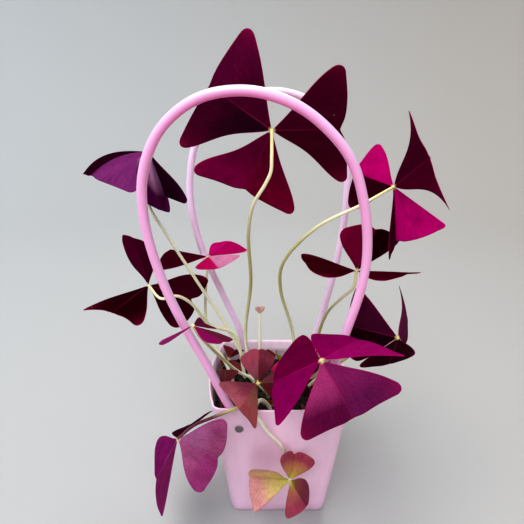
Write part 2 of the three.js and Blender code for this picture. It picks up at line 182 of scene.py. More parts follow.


# %% [markdown]
# ## Studio
# The plant stands in a wide pale bowl: a flat floor that curves up into a wall all round,
# so there is a calm ground behind it from any side. A profile turned about the upright
# axis makes it. Broad lamps high on the left and high in front give the soft main light,
# a third one behind shines along the leaves, and a pale sky fills the shadows.

# %% Floor and wall
# Studio paper: matt and uncoated, painted lighter and cooler on the left and darker and
# warmer on the right as painted light from the left. It gives the eye an even ground on
# which the shadows stay soft.
FLOOR_FLAT = 900
WALL_RADIUS = 1700
WALL_TOP = 1500
BEND = WALL_RADIUS - FLOOR_FLAT
BEND_STEPS = 12
BOWL_SIDES = 96


def turned(profile, sides):
    """Turn a profile of radius and height about the upright axis."""
    angles = np.arange(sides) * 2 * math.pi / sides
    rings = [np.stack([r * np.cos(angles), r * np.sin(angles), np.full(sides, z)], 1) for r, z in profile]
    return np.array(rings)


def ring_faces(rows, columns, closed=True, flip=False):
    """Faces between rings of points that follow one another."""
    faces = []
    for r in range(rows - 1):
        for c in range(columns if closed else columns - 1):
            a, b = r * columns + c, r * columns + (c + 1) % columns
            face = (a, b, b + columns, a + columns)
            faces.append(face[::-1] if flip else face)
    return faces


def capped_rings(rows, columns, flip=False):
    """Faces of a closed skin: the rings, and one face over each end."""
    first = tuple(range(columns))
    last = tuple((rows - 1) * columns + c for c in range(columns))
    caps = [first, last[::-1]] if flip else [first[::-1], last]
    return ring_faces(rows, columns, flip=flip) + caps


studio_profile = [(1, 0), (150, 0), (400, 0)]
for step in range(BEND_STEPS + 1):
    a = step / BEND_STEPS * math.pi / 2
    studio_profile.append((FLOOR_FLAT + BEND * math.sin(a), BEND * (1 - math.cos(a))))
studio_profile.append((WALL_RADIUS, WALL_TOP))
paper, paper_tree, paper_shader = start_material("studio_paper_matt", Roughness=0.9)
paper_place = node(paper_tree, "ShaderNodeTexCoord").outputs["Object"]
paper_x = node(paper_tree, "ShaderNodeSeparateXYZ", {"Vector": paper_place}).outputs["X"]
# Painted light: the paper is lighter and cooler on the left, darker and warmer on the right.
paper_painted_falloff = node(paper_tree, "ShaderNodeMapRange", {"Value": paper_x, 1: -1.2, 2: 1.2})
paper_colour = node(paper_tree, "ShaderNodeMix", {
    0: paper_painted_falloff, 6: linear("#b3b9bd"), 7: linear("#a19b94")}, data_type="RGBA")
wire(paper_tree, paper_shader, Base_Color=paper_colour)
studio_rings = turned(studio_profile, BOWL_SIDES)
studio = mesh_object("studio_floor", studio_rings.reshape(-1, 3),
                     ring_faces(len(studio_profile), BOWL_SIDES), paper)
print("floor bowl", 2 * WALL_RADIUS / 1000, "m across")

# %% Lamps and sky
LAMPS_AIM = np.array([0, 0, 150])
SKY_STRENGTH = 0.5
LAMPS = {
    "top": {"at": (-700, -500, 2300), "size": 1.3, "power": 29, "colour": "#fffaf4"},
    "back": {"at": (500, 1300, 2000), "size": 1.0, "power": 14, "colour": "#ffffff"},
    "front": {"at": (-300, -1500, 1500), "size": 1.4, "power": 32, "colour": "#f2f5ff"},
}
for name, lamp in LAMPS.items():
    light = bpy.data.lights.new(name, "AREA")
    light.shape = "DISK"
    light.size = lamp["size"]
    light.energy = lamp["power"]
    light.color = linear(lamp["colour"])[:3]
    holder = bpy.data.objects.new(name, light)
    bpy.context.scene.collection.objects.link(holder)
    holder.location = np.array(lamp["at"]) * MM
    aim = LAMPS_AIM - np.array(lamp["at"])
    holder.rotation_euler = Vector(aim).to_track_quat("-Z", "Y").to_euler()
world = bpy.data.worlds.new("sky")
bpy.context.scene.world = world
world.use_nodes = True
sky = world.node_tree.nodes["Background"]
sky.inputs["Color"].default_value = linear("#eef1f5")
sky.inputs["Strength"].default_value = SKY_STRENGTH
print("lamps:", ", ".join(LAMPS))

# %% [markdown]
# ## Pot
# The real pot is a folded box of thin board with a glossy pink film, square, wider at the
# rim, its walls bulging where the plant fills it. It could be four flat plates, but then
# the corners would be knife edges, so a section with round corners and bowed sides is
# repeated from the foot to the rim, down again inside, and closed. Below a folded hem the
# wall is thinner, and one edge of the sheet laps over the back.

# %% Pot section
POT_HEIGHT = 90
POT_BASE_HALF = 32
POT_RIM_HALF = 42
POT_WALL = 1.2
POT_CORNER = 6
SIDE_BOW = 5
FRONT_BOW = 2
HEM = 9
LAP_RISE = 0.3
LAP_EDGE = 0.84
LAP_STEP = 0.006
CORNER_STEPS = 8


def pot_half(z):
    """Half the width of the pot at a height, before its sides bow out."""
    return POT_BASE_HALF + (POT_RIM_HALF - POT_BASE_HALF) * z / POT_HEIGHT


def pot_section(z, inset, lap=0.0):
    """One ring of the pot at a height, shrunk by inset, with the back lap raised."""
    half = pot_half(z) - inset
    corner = max(1.0, POT_CORNER - inset)
    straight = half - corner
    swell = (z / POT_HEIGHT) ** 2
    ring = []
    for side in range(4):
        turn = side * math.pi / 2
        bow = swell * (SIDE_BOW if side % 2 == 0 else FRONT_BOW)
        local = []
        for f in [*np.linspace(-1, 0.8, 15), LAP_EDGE, LAP_EDGE + LAP_STEP, 0.92, 1]:
            rise = lap if side == 1 and f > LAP_EDGE + LAP_STEP / 2 else 0.0
            local.append((half + bow * (1 - f * f) + rise, f * straight))
        for i in range(1, CORNER_STEPS):
            a = i / CORNER_STEPS * math.pi / 2
            rise = lap * (1 - i / CORNER_STEPS) if side == 1 else 0.0
            reach = corner + rise
            local.append((straight + reach * math.cos(a), straight + reach * math.sin(a)))
        for x, y in local:
            ring.append((x * math.cos(turn) - y * math.sin(turn),
                         x * math.sin(turn) + y * math.cos(turn), z))
    return np.array(ring)


print("points round the pot:", len(pot_section(0, 0)))

# %% Pot material
# Coated board: card with a printed pink film on it. The film gives the eye soft, broad
# highlights; the card under it shows as faint clouds, fibres 0.4 mm apart, and a foot that
# turns darker towards the bottom. Soft upright bands of painted light and shade lie over it.
BOARD_CLOUD_MM = 16.67
BOARD_SHADE_BAND_MM = 11.11
BOARD_FIBRE_MM = 0.4167
board, board_tree, board_shader = start_material(
    "coated_board_pink_film", IOR=1.48, Coat_Weight=0.12, Coat_Roughness=0.3)
place = node(board_tree, "ShaderNodeTexCoord").outputs["Object"]
cloud = node(board_tree, "ShaderNodeTexNoise", {
    "Vector": place, "Scale": per_metre(BOARD_CLOUD_MM), "Detail": 4.0})
film = node(board_tree, "ShaderNodeMix", {
    0: cloud.outputs["Fac"], 6: linear("#f3c4de"), 7: linear("#f8d2e8")}, data_type="RGBA")
inner = node(board_tree, "ShaderNodeAttribute", attribute_name="inside")
lining = node(board_tree, "ShaderNodeMix", {
    0: inner.outputs["Fac"], 6: film, 7: linear("#f8e0ee")}, data_type="RGBA")
# Darker towards the foot: over the lowest few millimetres the colour turns, in clouds, to a darker mauve.
low = node(board_tree, "ShaderNodeAttribute", attribute_name="low")
foot_darkening = node(board_tree, "ShaderNodeMath", {
    0: low.outputs["Fac"], 1: cloud.outputs["Fac"]}, operation="MULTIPLY")
darker_foot = node(board_tree, "ShaderNodeMix", {
    0: foot_darkening, 6: lining, 7: linear("#b58fae")}, data_type="RGBA")
upright = node(board_tree, "ShaderNodeMapping", {"Vector": place, "Scale": (1, 1, 0.35)})
fibre = node(board_tree, "ShaderNodeTexNoise", {
    "Vector": upright, "Scale": per_metre(BOARD_FIBRE_MM), "Detail": 2.0})
rough = node(board_tree, "ShaderNodeMapRange", {"Value": cloud.outputs["Fac"], 3: 0.34, 4: 0.5})
bump = node(board_tree, "ShaderNodeBump", {
    "Strength": 0.18, "Distance": 0.0002, "Height": fibre.outputs["Fac"]})
# Painted light and shade: soft upright bands make the film lighter and darker.
shade_band_place = node(board_tree, "ShaderNodeMapping", {
    "Vector": place, "Scale": (1, 1, 0.12), "Rotation": (0.0, 0.12, 0.0)})
shade_band_noise = node(board_tree, "ShaderNodeTexNoise", {
    "Vector": shade_band_place, "Scale": per_metre(BOARD_SHADE_BAND_MM), "Detail": 3.0,
    "Distortion": 0.4})
painted_band_shade = node(board_tree, "ShaderNodeMapRange", {
    "Value": shade_band_noise.outputs["Fac"], 1: 0.35, 2: 0.7, 3: 0.94, 4: 1.06})
band_shaded = node(board_tree, "ShaderNodeHueSaturation", {"Value": painted_band_shade, "Color": darker_foot})
wire(board_tree, board_shader, Base_Color=band_shaded, Roughness=rough, Normal=bump)

# %% Pot mesh
BOTTOM = 1.2
FOOT_ROUND = {0: 0.9, 0.4: 0.25}
DARK_FOOT_HEIGHT = 6
outer_heights = [0, 0.4, 1.2, 3, *np.linspace(8, 87, 18), 89.2, 89.8]
pot_rings = [pot_section(0, 2.0)]
pot_rings += [pot_section(z, FOOT_ROUND.get(z, 0), LAP_RISE) for z in outer_heights]
pot_rings.append(pot_section(POT_HEIGHT, POT_WALL * 0.5, LAP_RISE * 0.5))
first_inside = len(pot_rings)
pot_rings += [pot_section(z, POT_WALL) for z in (89.8, 88, 84.5, POT_HEIGHT - HEM)]
pot_rings += [pot_section(z, POT_WALL * 0.6) for z in (POT_HEIGHT - HEM - 0.5, 70, 50, 30, 10, BOTTOM)]
pot_rings.append(pot_section(BOTTOM, 6))
rows, columns = len(pot_rings), len(pot_rings[0])
pot_points = np.concatenate(pot_rings)
pot = mesh_object("pot_shell", pot_points, capped_rings(rows, columns), board)
store(pot, "inside", np.repeat(np.arange(rows) >= first_inside, columns))
store(pot, "low", np.clip(1 - pot_points[:, 2] / DARK_FOOT_HEIGHT, 0, 1))
finish_piece(pot, "pot_board", "pot")

# %% [markdown]
# ## A smooth path
# Handles and stalks are both long round things that follow a bent line. Their routes are
# given by a few points, which could be smoothed by hand, but a function does it alike for
# all: it lays a smooth curve through them and takes points from it at even steps.

# %% Smooth path
CURVE_STEP = 0.04


def smooth_path(points, count):
    """Points at even steps on the smooth curve through the given ones, and its length."""
    points = [np.array(p, dtype=float) for p in points]
    ends = [2 * points[0] - points[1], *points, 2 * points[-1] - points[-2]]
    fine = []
    for a, b, c, d in zip(ends, ends[1:], ends[2:], ends[3:]):
        before, here, after = [np.linalg.norm(q - p) ** 0.5 for p, q in ((a, b), (b, c), (c, d))]
        leave = ((b - a) / before - (c - a) / (before + here) + (c - b) / here) * here
        arrive = ((c - b) / here - (d - b) / (here + after) + (d - c) / after) * here
        for t in np.arange(0, 1, CURVE_STEP):
            fine.append(b + leave * t + (3 * (c - b) - 2 * leave - arrive) * t ** 2
                        + (2 * (b - c) + leave + arrive) * t ** 3)
    fine = np.array(fine + [points[-1]])
    run = np.concatenate([[0], np.cumsum(np.linalg.norm(np.diff(fine, axis=0), axis=1))])
    wanted = np.linspace(0, run[-1], count)
    return np.stack([np.interp(wanted, run, fine[:, k]) for k in range(3)], 1), run[-1]


print("path works:", smooth_path([(0, 0, 0), (1, 0, 0), (2, 1, 0)], 3)[0].round(2).tolist())

# %% [markdown]
# ## Round things along a path
# A tube is one circle carried along a line, which is just what a small geometry tree does
# well. The tree takes a line of edges, makes a curve of it, writes down how far along each
# point lies so that a material can read it, and sweeps a circle whose radius goes from a
# foot size to a tip size. The result is turned to a plain mesh.

# %% The sweeping tree
SWEEP_INPUTS = {
    "Foot radius": ("NodeSocketFloat", 0.001),
    "Tip radius": ("NodeSocketFloat", 0.001),
    "Sides": ("NodeSocketInt", 16),
    "Material": ("NodeSocketMaterial", None),
}


def start_tree(name, inputs):
    """Start a geometry tree with named inputs and one geometry output."""
    tree = bpy.data.node_groups.new(name, "GeometryNodeTree")
    tree.interface.new_socket("Geometry", in_out="INPUT", socket_type="NodeSocketGeometry")
    for label, (kind, value) in inputs.items():
        socket = tree.interface.new_socket(label, in_out="INPUT", socket_type=kind)
        if value is not None:
            socket.default_value = value
    tree.interface.new_socket("Geometry", in_out="OUTPUT", socket_type="NodeSocketGeometry")
    return tree, node(tree, "NodeGroupInput")


sweep, given = start_tree("sweep_a_round_section", SWEEP_INPUTS)
line = node(sweep, "GeometryNodeMeshToCurve", {"Mesh": given.outputs["Geometry"]})
along = node(sweep, "GeometryNodeSplineParameter")
marked = node(sweep, "GeometryNodeStoreNamedAttribute", {
    "Geometry": line, "Name": "along", "Value": along.outputs["Factor"]}, domain="POINT")
radius = node(sweep, "ShaderNodeMapRange", {
    "Value": along.outputs["Factor"], 3: given.outputs["Foot radius"], 4: given.outputs["Tip radius"]})
circle = node(sweep, "GeometryNodeCurvePrimitiveCircle", {
    "Resolution": given.outputs["Sides"], "Radius": 1.0})
swept = node(sweep, "GeometryNodeCurveToMesh", {
    "Curve": marked, "Profile Curve": circle,
    "Scale": radius, "Fill Caps": True})
solid = node(sweep, "GeometryNodeRealizeInstances", {"Geometry": swept})
named = node(sweep, "GeometryNodeSetMaterial", {
    "Geometry": solid, "Material": given.outputs["Material"]})
node(sweep, "NodeGroupOutput", {"Geometry": named})
print("sweeping tree:", len(sweep.nodes), "nodes")

# %% Running a tree


def grown(base, tree, **values):
    """Run a tree on an object and keep the result as its plain mesh."""
    modifier = base.modifiers.new(tree.name, "NODES")
    modifier.node_group = tree
    for item in tree.interface.items_tree:
        key = item.name.replace(" ", "_").lower()
        if item.in_out == "INPUT" and key in values:
            modifier[item.identifier] = values.pop(key)
    assert not values, values
    ready = bpy.context.evaluated_depsgraph_get()
    mesh = bpy.data.meshes.new_from_object(base.evaluated_get(ready), depsgraph=ready)
    base.modifiers.remove(modifier)
    mesh.name = base.name
    base.data = mesh
    mesh.shade_smooth()
    return base


def swept_piece(name, path, foot, tip, sides, material):
    """Sweep a round section along a path in millimetres."""
    base = mesh_object(name, path, [], None, edges=[(i, i + 1) for i in range(len(path) - 1)])
    return grown(base, sweep, foot_radius=foot * MM, tip_radius=tip * MM, sides=sides, material=material)


print("ready to sweep")

# %% [markdown]
# ## Handles
# Each handle is a length of pink plastic tube, about 5 mm thick, bent to a hoop whose legs
# run down inside a wall of the pot. The back hoop is a little higher and rounder than the
# front one, as two bends by hand never match.

# %% Tube material
# Extruded soft vinyl tube: a glossy skin over a slightly milky body. Its upper side is
# painted whitish lilac as painted light from above and its lower side a deeper pink as
# painted shade, and the back hoop is painted paler all over. It gives the eye a soft
# highlight on warm pink.
TUBE_CLOUD_MM = 22.22
TUBE_GRAIN_MM = 1.111
tube, tube_tree, tube_shader = start_material(
    "extruded_vinyl_tube_pink", IOR=1.55, Coat_Weight=0.6, Coat_Roughness=0.28,
    Subsurface_Weight=0.15, Subsurface_Radius=(0.004, 0.002, 0.003), Subsurface_Scale=1.0)
place = node(tube_tree, "ShaderNodeTexCoord").outputs["Object"]
milky = node(tube_tree, "ShaderNodeTexNoise", {
    "Vector": place, "Scale": per_metre(TUBE_CLOUD_MM), "Detail": 2.0})
# Painted light and shade: the side facing up is painted whitish lilac, the side facing down a deeper pink.
facing = node(tube_tree, "ShaderNodeNewGeometry").outputs["Normal"]
faces_up = node(tube_tree, "ShaderNodeSeparateXYZ", {"Vector": facing}).outputs["Z"]
cloudy = node(tube_tree, "ShaderNodeMath", {
    0: milky.outputs["Fac"], 1: 0.2, 2: -0.1}, operation="MULTIPLY_ADD")
height = node(tube_tree, "ShaderNodeMath", {0: faces_up, 1: cloudy}, operation="ADD")
painted_top_light = node(tube_tree, "ShaderNodeMapRange", {"Value": height, 1: -1.0, 2: 1.0})
ramp = node(tube_tree, "ShaderNodeValToRGB", {"Fac": painted_top_light})
set_ramp(ramp, [(0.05, "#f874b8"), (0.4, "#f5a6d6"), (0.7, "#eec2e8"), (0.95, "#e2cce6")])
# The back hoop is painted paler all over.
faded = node(tube_tree, "ShaderNodeAttribute", attribute_name="faded")
vinyl = node(tube_tree, "ShaderNodeMix", {
    0: faded.outputs["Fac"], 6: ramp.outputs["Color"], 7: linear("#f0dcf2")}, data_type="RGBA")
grain = node(tube_tree, "ShaderNodeTexNoise", {
    "Vector": place, "Scale": per_metre(TUBE_GRAIN_MM), "Detail": 1.0})
gloss = node(tube_tree, "ShaderNodeMapRange", {"Value": grain.outputs["Fac"], 3: 0.26, 4: 0.32})
bump = node(tube_tree, "ShaderNodeBump", {
    "Strength": 0.015, "Distance": 0.0002, "Height": grain.outputs["Fac"]})
wire(tube_tree, tube_shader, Base_Color=vinyl, Roughness=gloss, Normal=bump)

# %% Handle pieces
TUBE_RADIUS = 2.5
TUBE_CLEAR = 0.3
TUBE_SIDES = 24
TUBE_STEPS = 240
HOOP_PALENESS = {"front": 0.0, "back": 0.6}
FRONT_ROUTE = [
    (-25, 67), (-25.5, 78), (-32, 91), (-42.5, 119), (-54, 146), (-64, 176), (-69.5, 210), (-67, 233),
    (-57, 252), (-40, 264.5), (-20, 268), (-2, 264.5), (13, 256.5), (30, 239), (39, 216), (43, 190),
    (41.5, 168), (36, 142), (30, 114), (26, 90), (25, 78), (25, 67),
]
BACK_ROUTE = [
    (-25, 67), (-24.5, 80), (-27, 98), (-39, 126), (-55.5, 165), (-62, 196), (-62, 215), (-57, 238),
    (-43, 257), (-23, 269), (0, 272), (22, 265.5), (39, 249), (47.5, 227), (49.5, 204), (45, 160),
    (36.5, 121), (30, 96), (25.5, 80), (25, 67),
]
for side, face, route in (("front", -1, FRONT_ROUTE), ("back", 1, BACK_ROUTE)):
    reach = [pot_half(z) - POT_WALL - TUBE_CLEAR - TUBE_RADIUS for _, z in route]
    path, length = smooth_path([(x, face * y, z) for (x, z), y in zip(route, reach)], TUBE_STEPS)
    hoop = swept_piece(f"{side}_handle_tube", path, TUBE_RADIUS, TUBE_RADIUS, TUBE_SIDES, tube)
    store(hoop, "faded", [HOOP_PALENESS[side]] * len(hoop.data.vertices))
    finish_piece(hoop, "handle_tube", f"handle_{side}")
    print(side, "tube is", round(length), "mm long")

# %% [markdown]
# ## Rivets
# Four domed plastic rivets hold the handle legs to the walls. They are all alike, so one
# head is turned from a profile, and a tree sets a copy on each of four points, square to
# the leaning wall.

# %% Rivet material
# Moulded nylon: a grey-brown, half-matt plastic with a fine moulded grain of about 0.3 mm.
# It gives the eye a dull dark dot with no sharp highlight.
NYLON_GRAIN_MM = 0.3333
nylon, nylon_tree, nylon_shader = start_material("moulded_nylon_grey", IOR=1.53)
place = node(nylon_tree, "ShaderNodeTexCoord").outputs["Object"]
speck = node(nylon_tree, "ShaderNodeTexNoise", {
    "Vector": place, "Scale": per_metre(NYLON_GRAIN_MM), "Detail": 2.0})
nylon_colour = node(nylon_tree, "ShaderNodeMix", {
    0: speck.outputs["Fac"], 6: linear("#5d5558"), 7: linear("#7a7072")}, data_type="RGBA")
nylon_rough = node(nylon_tree, "ShaderNodeMapRange", {"Value": speck.outputs["Fac"], 3: 0.38, 4: 0.55})
wire(nylon_tree, nylon_shader, Base_Color=nylon_colour, Roughness=nylon_rough)

# %% Rivet tree and piece
PIN_X = 25
PIN_HEIGHT = 75
PIN_SIDES = 28
PIN_PROFILE = [(0.01, -5.4), (1.2, -5.4), (1.4, -5.2), (1.4, 0.5), (2.2, 0.45), (2.55, 0.55),
               (2.6, 0.7), (2.45, 0.95), (2.0, 1.18), (1.3, 1.33), (0.6, 1.39), (0.01, 1.4)]
wall_lean = math.atan((POT_RIM_HALF - POT_BASE_HALF) / POT_HEIGHT)
rivet_shape = mesh_object("rivet_shape", turned(PIN_PROFILE, PIN_SIDES).reshape(-1, 3),
                          capped_rings(len(PIN_PROFILE), PIN_SIDES), nylon)
rivets, given = start_tree("rivets_on_points", {
    "Rivet": ("NodeSocketObject", None), "Material": ("NodeSocketMaterial", None)})
shape = node(rivets, "GeometryNodeObjectInfo", {"Object": given.outputs["Rivet"]})
axis = node(rivets, "GeometryNodeInputNamedAttribute", {"Name": "axis"}, data_type="FLOAT_VECTOR")
square = node(rivets, "FunctionNodeAlignRotationToVector", {"Vector": axis}, axis="Z")
set_on = node(rivets, "GeometryNodeInstanceOnPoints", {
    "Points": given.outputs["Geometry"], "Instance": shape.outputs["Geometry"],
    "Rotation": square})
real = node(rivets, "GeometryNodeRealizeInstances", {"Geometry": set_on})
named = node(rivets, "GeometryNodeSetMaterial", {
    "Geometry": real, "Material": given.outputs["Material"]})
node(rivets, "NodeGroupOutput", {"Geometry": named})
seats = []
axes = []
for face in (-1, 1):
    for x in (-PIN_X, PIN_X):
        share = x / (pot_half(PIN_HEIGHT) - POT_CORNER)
        bow = (PIN_HEIGHT / POT_HEIGHT) ** 2 * FRONT_BOW * (1 - share ** 2)
        seats.append((x, face * (pot_half(PIN_HEIGHT) + bow), PIN_HEIGHT))
        axes.append((0, face * math.cos(wall_lean), -math.sin(wall_lean)))
heads = mesh_object("wall_rivets", seats, [], nylon)
layer = heads.data.attributes.new("axis", "FLOAT_VECTOR", "POINT")
layer.data.foreach_set("vector", np.array(axes, dtype=np.float32).ravel())
grown(heads, rivets, rivet=rivet_shape, material=nylon)
bpy.data.objects.remove(rivet_shape)
finish_piece(heads, "pin", "pin_front_left", "pin_front_right", "pin_back_left", "pin_back_right")
